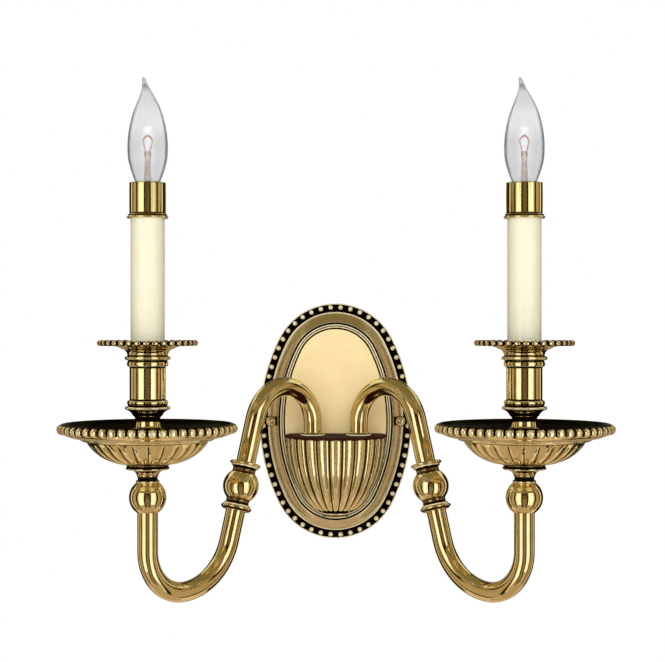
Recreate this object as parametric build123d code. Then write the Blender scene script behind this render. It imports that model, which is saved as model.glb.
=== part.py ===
"""Double arm wall sconce: oval brass backplate, fluted half bowl and two tube arms with electric candles.

Millimetres. The origin is the centre of the backplate's back face, on the wall.
+X is to the right seen from the room, +Z is up, and the sconce stands out from the wall towards -Y.
"""
from build123d import *
import os
from math import asin, cos, degrees, hypot, pi, radians, sin, sqrt

os.makedirs("parts", exist_ok=True)

# ---------------------------------------------------------------- clearances
FIT = 0.12           # radial gap of a turned piece on the tube or stem that carries it
LOOSE = 0.35         # gap between pieces that move past each other
FACE_GAP = 0.05      # gap between flat faces that seat on each other
THROUGH = 400.0      # length of a cutting tool that passes right through

# ---------------------------------------------------------------- backplate
PLATE_HALF_WIDTH = 66.0
PLATE_HALF_HEIGHT = 102.0
PLATE_END_RADIUS = 55.0      # top and bottom arcs of the four-centre oval
PLATE_WALL = 1.6
PLATE_RIM_HEIGHT = 5.0       # outer lip, from the wall
CHANNEL_HEIGHT = 4.2         # floor of the bead channel
RIDGE_HEIGHT = 7.4
COVE_TOP_HEIGHT = 11.5
CREST_HEIGHT = 14.0          # inner moulding
PANEL_HEIGHT = 12.5
BEAD_INSET = 3.1
CHANNEL_INSET = 5.4          # inner edge of the bead channel
RIDGE_INSET = 7.8
COVE_INSET = 17.4            # inner edge of the cove band
CREST_INSET = 20.0
PANEL_INSET = 23.4
PLATE_BEAD_COUNT = 60
PLATE_BEAD_RADIUS = 2.35
WIRE_HOLE_RADIUS = 8.0
WIRE_HOLE_Z = -38.0

# ---------------------------------------------------------------- wall fixing
STUD_INSET = 9.7             # cap nuts and studs, in from the plate's left and right edge
STUD_RADIUS = 2.05
BOSS_RADIUS = 4.3
BOSS_HEIGHT = 9.0
CAP_NUT_RADIUS = 4.5
CAP_NUT_COLLAR = 1.2
STRAP_END = 4.2              # stud centre to the strap's end
STRAP_WIDTH = 19.0
STRAP_THICKNESS = 1.6
BOX_SCREW_SPACING = 88.9
SLOT_WIDTH = 4.6
SLOT_LENGTH = 13.0
STRAP_CENTRE_HOLE_RADIUS = 5.2
STUD_NUT_FLATS = 7.0
STUD_NUT_THICKNESS = 2.2
GROUND_SCREW_X = 22.0
GROUND_SCREW_RADIUS = 1.9
GROUND_HEAD_RADIUS = 4.0
GROUND_HEAD_THICKNESS = 2.0

# ---------------------------------------------------------------- bowl
BOWL_RADIUS = 43.0
BOWL_AXIS_OUT = 32.0         # bowl axis, out from the wall
BOWL_TOP_Z = -12.0
BOWL_DEPTH = 67.0
BOWL_WALL = 2.6
BOWL_FLUTE_COUNT = 24
BOWL_FLUTE_GROOVE = 1.25
BOWL_FOOT_RADIUS = 11.0
BOWL_FOOT_THICKNESS = 2.2
COVER_THICKNESS = 1.6
COVER_OVERHANG = 0.3
LUG_X = 30.5                 # screw lugs inside the bowl
LUG_Z = -27.0
LUG_RADIUS = 5.0
LUG_LENGTH = 9.0
LUG_WEB = 6.0                # width of the rib from a lug to the bowl's wall
BOWL_SCREW_RADIUS = 1.95
BOWL_SCREW_HEAD_RADIUS = 3.6
BOWL_SCREW_HEAD = 2.2

# ---------------------------------------------------------------- arms
TUBE_RADIUS = 7.94           # five eighths of an inch tube
TUBE_WALL = 1.2
ARM_ROOT_X = 19.4            # where the arm leaves the bowl cover
ARM_ROOT_OUT = 42.0
ARM_PLAN_ANGLE = 45.0        # plan angle of the arm's plane to the wall
ARM_ROOT_Z = -25.0           # lower end of the arm inside the bowl
LOOP_U = 31.5                # top of the loop, along the arm's plane
LOOP_TOP_Z = 32.0
KNOP_U = 81.2
KNOP_Z = -47.0
ARM_LEAN = 16.2              # lean of the straight stretch at the knop
BEND_U = 141.6               # lowest point of the U bend
BEND_Z = -125.7
ARM_REACH = 176.4            # candle axis, along the arm's plane
FLANGE_RADIUS = 10.1
FLANGE_HEIGHT = 2.8
LOCKNUT_FLATS = 22.0
LOCKNUT_THICKNESS = 4.0
KNOP_RADIUS = 14.4
KNOP_NECK_RADIUS = 9.6
KNOP_NECK_END = 16.6         # knop centre to the neck's end face
COLLAR_RADIUS = 12.6
COLLAR_THICKNESS = 2.5
SOCKET_DEPTH = 6.6           # tube end inside the knop or the arm ball
ARM_BALL_RADIUS = 14.3
ARM_BALL_Z = -49.2
ARM_BALL_TOP_RADIUS = 8.4

# ---------------------------------------------------------------- candle stack
STEM_RADIUS = 4.85           # hollow threaded stem
STEM_BORE = 3.2
STEM_TOP_Z = 77.5
SEAT_TOP_Z = -24.2
SEAT_RADIUS = 17.0
PAN_RADIUS = 69.0
PAN_RIM_Z = 3.4              # centre of the beads
PAN_BEAD_COUNT = 56
PAN_BEAD_HEIGHT = 6.5
PAN_BEAD_WIDTH = 5.6
PAN_WALL = 2.0
PAN_GADROON_COUNT = 24
PAN_GADROON_GROOVE = 1.1
PAN_GADROON_RADIUS = 44.2    # upper end of the gadroons
PAN_GADROON_Z = -8.4
PAN_FLOOR_RADIUS = 18.0
CUP_FOOT_RADIUS = 16.5
CUP_NECK_RADIUS = 9.3
CUP_COLUMN_RADIUS = 13.8
CUP_RING_RADIUS = 17.8
CUP_TOP_Z = 60.4
CUP_BORE = 10.6              # relief inside the cup column
CUP_PAN_RADIUS = 38.6
CUP_PAN_RIM_Z = 68.9
CUP_PAN_BEAD_COUNT = 36
CUP_PAN_BEAD_RADIUS = 2.2
CUP_PAN_NECK_RADIUS = 16.6
CUP_PAN_FLOOR_Z = 66.6
STEM_NUT_FLATS = 14.0
STEM_NUT_THICKNESS = 3.0

# ---------------------------------------------------------------- candle, holder and lamp
SLEEVE_RADIUS = 13.0
SLEEVE_WALL = 1.0
CAP_TOP_Z = 191.7
CAP_BOTTOM_Z = 164.2
CAP_WALL = 0.8
CAP_OPENING_RADIUS = 12.05
CAP_COLLAR_RADIUS = 15.9
CAP_COLLAR_HEIGHT = 3.0
HOLDER_RADIUS = 10.9
HOLDER_BOTTOM_Z = 151.0
HOLDER_TOP_Z = 184.0
HOLDER_FLOOR_Z = 160.0
BRACKET_THICKNESS = 1.2
BRACKET_WIDTH = 8.0
LAMP_THREAD_RADIUS = 5.94    # candelabra screw base
LAMP_THREAD_PITCH = 2.54
LAMP_THREAD_DEPTH = 0.6
LAMP_THREAD_RIDGES = 5
LAMP_BASE_BOTTOM_Z = 166.5
LAMP_BASE_TOP_Z = 187.0
LAMP_SKIRT_RADIUS = 6.6
SHELL_WALL = 0.5
GLASS_RADIUS = 15.35
GLASS_WIDEST_Z = 219.5
GLASS_WALL = 0.8
GLASS_TIP_Z = 272.4
GLASS_TIP_BEND = 3.4
FILAMENT_Z = 224.0
FILAMENT_HALF_SPAN = 3.6
LEAD_WIRE_RADIUS = 0.3
LEAD_RADIUS = 1.7            # insulated lamp lead inside the arm
CONNECTOR_LENGTH = 20.0
CONNECTOR_RADIUS = 5.6

# ---------------------------------------------------------------- places worked out from the sizes
PLATE_SIDE_RADIUS = (
    (PLATE_HALF_WIDTH ** 2 + PLATE_HALF_HEIGHT ** 2 - 2 * PLATE_HALF_HEIGHT * PLATE_END_RADIUS)
    / (2 * (PLATE_HALF_WIDTH - PLATE_END_RADIUS))
)
SIDE_CENTRE = PLATE_SIDE_RADIUS - PLATE_HALF_WIDTH
END_CENTRE = PLATE_HALF_HEIGHT - PLATE_END_RADIUS
SIDE_HALF_ANGLE = asin(END_CENTRE / hypot(SIDE_CENTRE, END_CENTRE))
STUD_X = PLATE_HALF_WIDTH - STUD_INSET
STRAP_LENGTH = 2 * (STUD_X + STRAP_END)

PLAN_COS = cos(radians(ARM_PLAN_ANGLE))
PLAN_SIN = sin(radians(ARM_PLAN_ANGLE))
CANDLE_X = ARM_ROOT_X + ARM_REACH * PLAN_COS
CANDLE_Y = -(ARM_ROOT_OUT + ARM_REACH * PLAN_SIN)
COVER_TOP_Z = BOWL_TOP_Z + FACE_GAP + COVER_THICKNESS
TUBE_BORE = TUBE_RADIUS - TUBE_WALL
PAN_BOTTOM_Z = SEAT_TOP_Z + FACE_GAP
PAN_FLOOR_Z = PAN_BOTTOM_Z + PAN_WALL
BALL_SOCKET_Z = ARM_BALL_Z - sqrt(ARM_BALL_RADIUS ** 2 - TUBE_RADIUS ** 2) + SOCKET_DEPTH
LOWER_NUT_Z = CUP_PAN_FLOOR_Z + FACE_GAP
BRACKET_FOOT_Z = LOWER_NUT_Z + STEM_NUT_THICKNESS + FACE_GAP
UPPER_NUT_Z = BRACKET_FOOT_Z + BRACKET_THICKNESS + FACE_GAP


# ---------------------------------------------------------------- general shapes
def outline(*steps):
    """Closed outline through (x, y) steps; a third number bows the edge that leads there by that much."""
    edges = []
    for start, end in zip(steps, steps[1:] + steps[:1]):
        if len(end) == 3:
            edges.append(SagittaArc(start[:2], end[:2], end[2]))
        else:
            edges.append(Line(start[:2], end[:2]))
    return make_face(Wire(edges))


def turned(*steps):
    """Solid of revolution about Z from an outline of (radius, height) steps."""
    return revolve(Plane.XZ * outline(*steps), Axis.Z)


def ring(outer, inner, bottom, top):
    """Plain turned ring between two heights."""
    return turned((inner, bottom), (outer, bottom), (outer, top), (inner, top))


def hex_nut(flats, bore, bottom, thickness):
    """Hexagonal nut about Z."""
    blank = extrude(RegularPolygon(flats / 2, 6, major_radius=False), thickness)
    nut = blank - Cylinder(bore, THROUGH)
    return Pos(0, 0, bottom) * nut


def grooved(shape, arc, radius, count):
    """Shape with evenly spaced round grooves along an arc that lies in the XZ plane."""
    groove = sweep((arc ^ 0) * Circle(radius), path=arc)
    for index in range(count):
        shape = shape - Rot(0, 0, 360 / count * (index + 0.5)) * groove
    return shape


def out_from_wall(shape, x, z):
    """Place a shape that is made about +Z so that its +Z points out of the wall, at (x, z) on the wall."""
    return Plane((x, 0, z), x_dir=(1, 0, 0), z_dir=(0, -1, 0)) * shape


# ---------------------------------------------------------------- backplate
def oval_face(inset):
    """Four-centre oval, inset from the plate's edge, drawn in its own XY plane."""
    side = PLATE_SIDE_RADIUS - inset
    end = PLATE_END_RADIUS - inset
    corner_x = side * cos(SIDE_HALF_ANGLE) - SIDE_CENTRE
    corner_y = side * sin(SIDE_HALF_ANGLE)
    top = (0, END_CENTRE + end)
    bottom = (0, -END_CENTRE - end)
    right = ThreePointArc((corner_x, -corner_y), (side - SIDE_CENTRE, 0), (corner_x, corner_y))
    upper = ThreePointArc((corner_x, corner_y), top, (-corner_x, corner_y))
    left = ThreePointArc((-corner_x, corner_y), (SIDE_CENTRE - side, 0), (-corner_x, -corner_y))
    lower = ThreePointArc((-corner_x, -corner_y), bottom, (corner_x, -corner_y))
    return make_face(Wire([right, upper, left, lower]))


def border_arc(arc_radius, centre_x, centre_y, start_angle, sweep_angle):
    """One of the four stretches of the plate's moulded border, turned about its own arc centre."""
    def at(inset, height):
        return (arc_radius - inset, height)

    profile = outline(
        at(0.3, 0),
        at(0, PLATE_RIM_HEIGHT - 1.0),
        at(0.9, PLATE_RIM_HEIGHT) + (-0.3,),
        at(1.4, CHANNEL_HEIGHT),
        at(CHANNEL_INSET - 0.4, CHANNEL_HEIGHT),
        at(CHANNEL_INSET, RIDGE_HEIGHT - 0.7),
        at(RIDGE_INSET, RIDGE_HEIGHT - 0.4) + (-0.8,),
        at(COVE_INSET, COVE_TOP_HEIGHT) + (0.9,),
        at(COVE_INSET + 0.7, COVE_TOP_HEIGHT - 0.7),
        at(CREST_INSET - 0.9, CREST_HEIGHT - 0.6),
        at(CREST_INSET + 0.5, CREST_HEIGHT - 0.7) + (-0.6,),
        at(CREST_INSET + 1.0, CREST_HEIGHT - 1.3),
        at(PANEL_INSET - 1.1, CREST_HEIGHT - 1.2) + (-0.6,),
        at(PANEL_INSET, PANEL_HEIGHT),
        at(PANEL_INSET + 1.0, PANEL_HEIGHT),
        at(PANEL_INSET + 1.0, PANEL_HEIGHT - PLATE_WALL),
        at(CREST_INSET - 1.2, PANEL_HEIGHT - PLATE_WALL),
        at(COVE_INSET, COVE_TOP_HEIGHT - PLATE_WALL - 0.7),
        at(RIDGE_INSET + 0.6, RIDGE_HEIGHT - PLATE_WALL - 0.8),
        at(CHANNEL_INSET + 1.0, RIDGE_HEIGHT - PLATE_WALL - 0.8),
        at(CHANNEL_INSET, CHANNEL_HEIGHT - PLATE_WALL),
        at(PLATE_WALL + 0.3, CHANNEL_HEIGHT - PLATE_WALL),
        at(PLATE_WALL + 0.3, 0),
    )
    stretch = revolve(Plane.XZ * profile, Axis.Z, sweep_angle)
    return Pos(centre_x, centre_y, 0) * (Rot(0, 0, start_angle) * stretch)


def oval_point(share, inset):
    """Point on the inset oval, a share of the way round from the right-hand end of its short axis."""
    side = PLATE_SIDE_RADIUS - inset
    end = PLATE_END_RADIUS - inset
    side_half = side * SIDE_HALF_ANGLE
    end_half = end * (pi / 2 - SIDE_HALF_ANGLE)
    quarter = side_half + end_half
    run = (share % 1.0) * 4 * quarter
    fold, along = divmod(run, quarter)
    if fold % 2 == 1:
        along = quarter - along
    if along <= side_half:
        angle = along / side
        x, y = side * cos(angle) - SIDE_CENTRE, side * sin(angle)
    else:
        angle = SIDE_HALF_ANGLE + (along - side_half) / end
        x, y = end * cos(angle), END_CENTRE + end * sin(angle)
    return (x if fold in (0, 3) else -x, y if fold in (0, 1) else -y)


def make_backplate():
    """Hollow oval plate: beaded rim, ridge, cove band, inner moulding and flat panel."""
    half = degrees(SIDE_HALF_ANGLE)
    plate = extrude(oval_face(PANEL_INSET + 0.5), -PLATE_WALL)
    plate = Pos(0, 0, PANEL_HEIGHT) * plate
    stretches = [
        border_arc(PLATE_SIDE_RADIUS, -SIDE_CENTRE, 0, -half, 2 * half),
        border_arc(PLATE_END_RADIUS, 0, END_CENTRE, half, 180 - 2 * half),
        border_arc(PLATE_SIDE_RADIUS, SIDE_CENTRE, 0, 180 - half, 2 * half),
        border_arc(PLATE_END_RADIUS, 0, -END_CENTRE, 180 + half, 180 - 2 * half),
    ]
    beads = []
    for index in range(PLATE_BEAD_COUNT):
        x, y = oval_point((index + 0.5) / PLATE_BEAD_COUNT, BEAD_INSET)
        beads.append(Pos(x, y, CHANNEL_HEIGHT + 0.35 * PLATE_BEAD_RADIUS) * Sphere(PLATE_BEAD_RADIUS))
    boss_base = RIDGE_HEIGHT - PLATE_WALL - 0.8
    bosses = [
        Pos(x, 0, boss_base) * extrude(Circle(BOSS_RADIUS), BOSS_HEIGHT - boss_base)
        for x in (-STUD_X, STUD_X)
    ]
    plate = plate.fuse(*stretches)
    plate = plate.fuse(*beads, *bosses)
    holes = [Pos(x, 0, 0) * Cylinder(STUD_RADIUS + FIT, THROUGH) for x in (-STUD_X, STUD_X)]
    holes.append(Pos(0, WIRE_HOLE_Z, 0) * Cylinder(WIRE_HOLE_RADIUS, THROUGH))
    for x in (-LUG_X, LUG_X):
        holes.append(Pos(x, LUG_Z, 0) * Cylinder(BOWL_SCREW_RADIUS + FIT, THROUGH))
    plate = plate.cut(*holes)
    return out_from_wall(plate, 0, 0)


def make_mounting_strap():
    """Steel crossbar on the wall, slotted for the screws of a wall box."""
    bar = extrude(SlotOverall(STRAP_LENGTH, STRAP_WIDTH), STRAP_THICKNESS)
    tools = [Cylinder(STRAP_CENTRE_HOLE_RADIUS, THROUGH)]
    for side in (-1, 1):
        slot = extrude(SlotOverall(SLOT_LENGTH, SLOT_WIDTH), THROUGH, both=True)
        tools.append(Pos(side * BOX_SCREW_SPACING / 2, 0, 0) * slot)
        tools.append(Pos(side * STUD_X, 0, 0) * Cylinder(STUD_RADIUS + FIT / 2, THROUGH))
    tools.append(Pos(GROUND_SCREW_X, 0, 0) * Cylinder(GROUND_SCREW_RADIUS + FIT / 2, THROUGH))
    return out_from_wall(bar.cut(*tools), 0, 0)


def make_strap_studs():
    """The two threaded studs that the plate hangs on."""
    length = BOSS_HEIGHT + CAP_NUT_COLLAR + 2.0
    return [out_from_wall(extrude(Circle(STUD_RADIUS), length), x, 0) for x in (-STUD_X, STUD_X)]


def make_stud_nuts():
    """Nuts that lock the studs on the strap."""
    bore = STUD_RADIUS + FIT / 2
    nut = hex_nut(STUD_NUT_FLATS, bore, STRAP_THICKNESS + FACE_GAP, STUD_NUT_THICKNESS)
    return [out_from_wall(nut, x, 0) for x in (-STUD_X, STUD_X)]


def make_cap_nuts():
    """Round domed nuts that clamp the plate, blind from the front."""
    base = BOSS_HEIGHT + FACE_GAP
    dome_base = base + CAP_NUT_COLLAR
    depth = CAP_NUT_COLLAR + 2.0 + FIT
    bore = STUD_RADIUS + FIT / 2
    nut = turned(
        (bore, base),
        (CAP_NUT_RADIUS, base),
        (CAP_NUT_RADIUS, dome_base),
        (0, dome_base + CAP_NUT_RADIUS, -CAP_NUT_RADIUS * (1 - cos(pi / 4))),
        (0, base + depth),
        (bore, base + depth),
    )
    return [out_from_wall(nut, x, 0) for x in (-STUD_X, STUD_X)]


def make_ground_screw():
    """Green grounding screw in the strap."""
    length = GROUND_HEAD_THICKNESS + STRAP_THICKNESS
    shank = extrude(Circle(GROUND_SCREW_RADIUS), length)
    head = extrude(Circle(GROUND_HEAD_RADIUS), GROUND_HEAD_THICKNESS)
    head = Pos(0, 0, STRAP_THICKNESS + FACE_GAP) * head
    slot = Pos(0, 0, length) * Box(3 * GROUND_HEAD_RADIUS, 1.0, 1.4)
    return out_from_wall((shank + head) - slot, GROUND_SCREW_X, 0)


# ---------------------------------------------------------------- bowl
def bowl_point(turn, inset):
    """(radius, height) on the bowl's elliptical profile, turned from the rim (0) to the bottom (90)."""
    return (
        (BOWL_RADIUS - inset) * cos(radians(turn)),
        BOWL_TOP_Z - (BOWL_DEPTH - inset) * sin(radians(turn)),
    )


def bowl_arcs(inset, end_turn):
    """The profile as two arcs through points of the ellipse, in the XZ plane."""
    turns = (0, 22, 42, 58, end_turn)
    points = [bowl_point(turn, inset) for turn in turns]
    points = [(x, 0, z) for x, z in points]
    return ThreePointArc(*points[:3]), ThreePointArc(*points[2:])


def bowl_body(inset):
    """Closed half-egg about Z, from its top plane down."""
    upper, lower = bowl_arcs(inset, 75)
    foot = lower @ 1
    rim = upper @ 0
    bottom = (0, 0, BOWL_TOP_Z - (BOWL_DEPTH - inset))
    top = (0, 0, BOWL_TOP_Z)
    edges = [upper, lower, Line(foot, bottom), Line(bottom, top), Line(top, rim)]
    return revolve(make_face(Wire(edges)), Axis.Z)


def behind_panel():
    """Space behind the plate's panel, that cuts the bowl and its cover off flat."""
    return Pos(0, THROUGH / 2 - PANEL_HEIGHT - FACE_GAP, 0) * Box(THROUGH, THROUGH, THROUGH)


def make_bowl_shell():
    """Fluted half bowl, open at the top and against the plate, with two screw lugs."""
    place = Pos(0, -BOWL_AXIS_OUT, 0)
    outer = bowl_body(0)
    shell = outer - bowl_body(BOWL_WALL)
    for arc in bowl_arcs(0, 74):
        shell = grooved(shell, arc, BOWL_FLUTE_GROOVE, BOWL_FLUTE_COUNT)
    shell = place * shell
    foot_z = BOWL_TOP_Z - BOWL_DEPTH
    foot = place * ring(BOWL_FOOT_RADIUS, BOWL_FOOT_RADIUS - 4, foot_z - 0.4, foot_z + BOWL_FOOT_THICKNESS)
    lugs = []
    for side in (-1, 1):
        web = Pos(side * LUG_RADIUS, 0, LUG_LENGTH / 2) * Box(2 * LUG_RADIUS, LUG_WEB, LUG_LENGTH)
        lug = extrude(Circle(LUG_RADIUS), LUG_LENGTH) + web
        lug = lug - Cylinder(BOWL_SCREW_RADIUS + FIT, THROUGH)
        lug = Pos(0, 0, PANEL_HEIGHT) * lug
        lugs.append(out_from_wall(lug, side * LUG_X, LUG_Z) & (place * outer))
    shell = shell.fuse(foot, *lugs)
    return shell - behind_panel()


def arm_root(side):
    """Place of the arm's inner end."""
    return Pos(side * ARM_ROOT_X, -ARM_ROOT_OUT, 0)


def make_bowl_cover():
    """Flat lid on the bowl, with a hole for each arm."""
    disc = extrude(Circle(BOWL_RADIUS + COVER_OVERHANG), COVER_THICKNESS)
    disc = Pos(0, -BOWL_AXIS_OUT, BOWL_TOP_Z + FACE_GAP) * disc
    holes = [arm_root(side) * Cylinder(TUBE_RADIUS + FIT, THROUGH) for side in (-1, 1)]
    return disc.cut(*holes) - behind_panel()


def make_bowl_screws():
    """Screws from the back of the plate into the bowl's lugs."""
    head_base = PANEL_HEIGHT - PLATE_WALL - FACE_GAP
    shank = Pos(0, 0, head_base) * extrude(Circle(BOWL_SCREW_RADIUS), LUG_LENGTH - 0.5 + PLATE_WALL)
    head = Pos(0, 0, head_base - BOWL_SCREW_HEAD) * extrude(Circle(BOWL_SCREW_HEAD_RADIUS), BOWL_SCREW_HEAD)
    slot = Pos(0, 0, head_base - BOWL_SCREW_HEAD) * Box(3 * BOWL_SCREW_HEAD_RADIUS, 0.9, 1.6)
    screw = (shank + head) - slot
    return [out_from_wall(screw, side * LUG_X, LUG_Z) for side in (-1, 1)]


# ---------------------------------------------------------------- arms
def arm_point(side, u, z):
    """Space point of (u, z) in the arm's own upright plane."""
    return Vector(side * (ARM_ROOT_X + u * PLAN_COS), -(ARM_ROOT_OUT + u * PLAN_SIN), z)


LEAN_SIN = sin(radians(ARM_LEAN))
LEAN_COS = cos(radians(ARM_LEAN))
KNOP_LEVEL = KNOP_U * LEAN_COS + KNOP_Z * LEAN_SIN
OUTER_LOOP_RADIUS = (KNOP_LEVEL - LOOP_U * LEAN_COS - LOOP_TOP_Z * LEAN_SIN) / (1 - LEAN_SIN)
INNER_BEND_RADIUS = (BEND_U * LEAN_COS + BEND_Z * LEAN_SIN - KNOP_LEVEL) / (1 - LEAN_SIN)
OUTER_BEND_RADIUS = ARM_REACH - BEND_U
TUBE_STOP = KNOP_NECK_END - SOCKET_DEPTH     # knop centre to the tubes' ends


def arc_in_arm(side, centre, radius, start, end):
    """Arc of the arm's centre line between two directions, in degrees from +u towards +z."""
    points = []
    for angle in (start, (start + end) / 2, end):
        u = centre[0] + radius * cos(radians(angle))
        z = centre[1] + radius * sin(radians(angle))
        points.append(arm_point(side, u, z))
    return ThreePointArc(*points)


def knop_point(side, along):
    """Point on the leaning straight stretch, a distance below the knop's centre."""
    return arm_point(side, KNOP_U + along * LEAN_SIN, KNOP_Z - along * LEAN_COS)


def loop_edges(side):
    """Loop from the arm's straight root over to the leaning stretch."""
    inner = arc_in_arm(side, (LOOP_U, LOOP_TOP_Z - LOOP_U), LOOP_U, 180, 90)
    outer_centre = (LOOP_U, LOOP_TOP_Z - OUTER_LOOP_RADIUS)
    outer = arc_in_arm(side, outer_centre, OUTER_LOOP_RADIUS, 90, ARM_LEAN)
    return [inner, outer]


def bend_edges(side):
    """U bend from the leaning stretch round to the upright under the arm ball."""
    inner_centre = (BEND_U, BEND_Z + INNER_BEND_RADIUS)
    inner = arc_in_arm(side, inner_centre, INNER_BEND_RADIUS, 180 + ARM_LEAN, 270)
    outer_centre = (BEND_U, BEND_Z + OUTER_BEND_RADIUS)
    outer = arc_in_arm(side, outer_centre, OUTER_BEND_RADIUS, 270, 360)
    return [inner, outer]


def upper_arm_path(side, root_z, knop_end):
    """Centre line from inside the bowl to a point above the knop's centre."""
    loop = loop_edges(side)
    start = Line(arm_point(side, 0, root_z), loop[0] @ 0)
    end = Line(loop[1] @ 1, knop_point(side, -knop_end))
    return [start, *loop, end]


def lower_arm_path(side, knop_end, top_z):
    """Centre line from below the knop's centre to the arm ball."""
    bend = bend_edges(side)
    start = Line(knop_point(side, knop_end), bend[0] @ 0)
    end = Line(bend[1] @ 1, arm_point(side, ARM_REACH, top_z))
    return [start, *bend, end]


def rod_along(edges, radius):
    """Round bar along a path."""
    path = Wire(edges)
    return sweep((path ^ 0) * Circle(radius), path=path)


def tube_along(edges):
    """Arm tube along a path."""
    path = Wire(edges)
    return sweep((path ^ 0) * (Circle(TUBE_RADIUS) - Circle(TUBE_BORE)), path=path)


def knop_place(side):
    """Location of the knop, with its axis along the leaning stretch and +Z towards the bowl."""
    up = knop_point(side, -1) - knop_point(side, 0)
    return Plane(knop_point(side, 0), x_dir=Vector(0, 0, 1).cross(up), z_dir=up).location


def make_knop_ball(side):
    """Ball knop with a short neck at each end, counterbored for both tubes."""
    neck_start = sqrt(KNOP_RADIUS ** 2 - KNOP_NECK_RADIUS ** 2)
    bore = TUBE_RADIUS + FIT
    ball = turned(
        (TUBE_BORE, -TUBE_STOP),
        (bore, -TUBE_STOP),
        (bore, -KNOP_NECK_END),
        (KNOP_NECK_RADIUS, -KNOP_NECK_END),
        (KNOP_NECK_RADIUS, -neck_start, 0.5),
        (KNOP_NECK_RADIUS, neck_start, -(KNOP_RADIUS - KNOP_NECK_RADIUS)),
        (KNOP_NECK_RADIUS, KNOP_NECK_END, 0.5),
        (bore, KNOP_NECK_END),
        (bore, TUBE_STOP),
        (TUBE_BORE, TUBE_STOP),
    )
    return knop_place(side) * ball


def make_knop_collar(side, end):
    """Rounded ring on the tube, against the knop's neck: end is +1 above the knop, -1 below it."""
    bore = TUBE_RADIUS + FIT
    near = KNOP_NECK_END + FACE_GAP
    far = near + COLLAR_THICKNESS
    edge = COLLAR_RADIUS - COLLAR_THICKNESS / 2
    collar = turned(
        (bore, near),
        (edge, near),
        (edge, far, -COLLAR_THICKNESS / 2),
        (bore, far),
    )
    if end < 0:
        collar = Rot(180, 0, 0) * collar
    return knop_place(side) * collar


def make_arm_flange(side):
    """Ring on the bowl cover round the arm."""
    bore = TUBE_RADIUS + FIT
    base = COVER_TOP_Z + FACE_GAP
    step = base + 0.55 * FLANGE_HEIGHT
    top = base + FLANGE_HEIGHT
    flange = turned(
        (bore, base),
        (FLANGE_RADIUS, base),
        (FLANGE_RADIUS, step, -0.3),
        (FLANGE_RADIUS - 1.0, step),
        (bore + 0.3, top, -0.3),
        (bore, top),
    )
    return arm_root(side) * flange


def make_arm_locknuts():
    """Nuts on the arms' ends, under the bowl cover."""
    bottom = BOWL_TOP_Z - LOCKNUT_THICKNESS
    nut = hex_nut(LOCKNUT_FLATS, TUBE_RADIUS + FIT, bottom, LOCKNUT_THICKNESS)
    return [arm_root(side) * nut for side in (-1, 1)]


def make_arm_ball():
    """Hollow ball on the arm's outer end, tapped for the stem."""
    bottom_z = ARM_BALL_Z - sqrt(ARM_BALL_RADIUS ** 2 - (TUBE_RADIUS + FIT + 0.5) ** 2)
    top_z = ARM_BALL_Z + sqrt(ARM_BALL_RADIUS ** 2 - ARM_BALL_TOP_RADIUS ** 2)
    bore = TUBE_RADIUS + FIT
    return turned(
        (bore, BALL_SOCKET_Z),
        (bore, bottom_z),
        (bore + 0.5, bottom_z),
        (ARM_BALL_TOP_RADIUS, top_z, -ball_bow(bottom_z, top_z)),
        (STEM_RADIUS + FIT, top_z),
        (STEM_RADIUS + FIT, BALL_SOCKET_Z),
    )


def ball_bow(bottom_z, top_z):
    """Sagitta of the ball's outline between its two flats."""
    start_radius = TUBE_RADIUS + FIT + 0.5
    half_chord = hypot(ARM_BALL_TOP_RADIUS - start_radius, top_z - bottom_z) / 2
    return ARM_BALL_RADIUS - sqrt(ARM_BALL_RADIUS ** 2 - half_chord ** 2)


# ---------------------------------------------------------------- candle stack, made about Z
def make_pan_seat():
    """Stepped cup between the arm ball and the drip pan."""
    base = ARM_BALL_Z + sqrt(ARM_BALL_RADIUS ** 2 - ARM_BALL_TOP_RADIUS ** 2) + FACE_GAP
    bore = STEM_RADIUS + FIT
    return turned(
        (bore, base),
        (8.3, base),
        (8.4, base + 1.9, -0.75),
        (8.4, base + 4.6, 0.5),
        (11.9, SEAT_TOP_Z - 4.4, 0.8),
        (12.8, SEAT_TOP_Z - 3.9),
        (SEAT_RADIUS - 0.8, SEAT_TOP_Z - 3.4),
        (SEAT_RADIUS - 0.6, SEAT_TOP_Z, -0.8),
        (bore, SEAT_TOP_Z),
    )


def pan_arc(inset):
    """Belly of the drip pan as one arc in the XZ plane, from its floor out to the end of the gadroons."""
    start = (PAN_FLOOR_RADIUS, 0, PAN_BOTTOM_Z + 0.4 + inset)
    middle = (0.78 * PAN_GADROON_RADIUS - 0.6 * inset, 0, PAN_BOTTOM_Z + 5.7 + 0.8 * inset)
    end = (PAN_GADROON_RADIUS - inset, 0, PAN_GADROON_Z)
    return ThreePointArc(start, middle, end)


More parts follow.
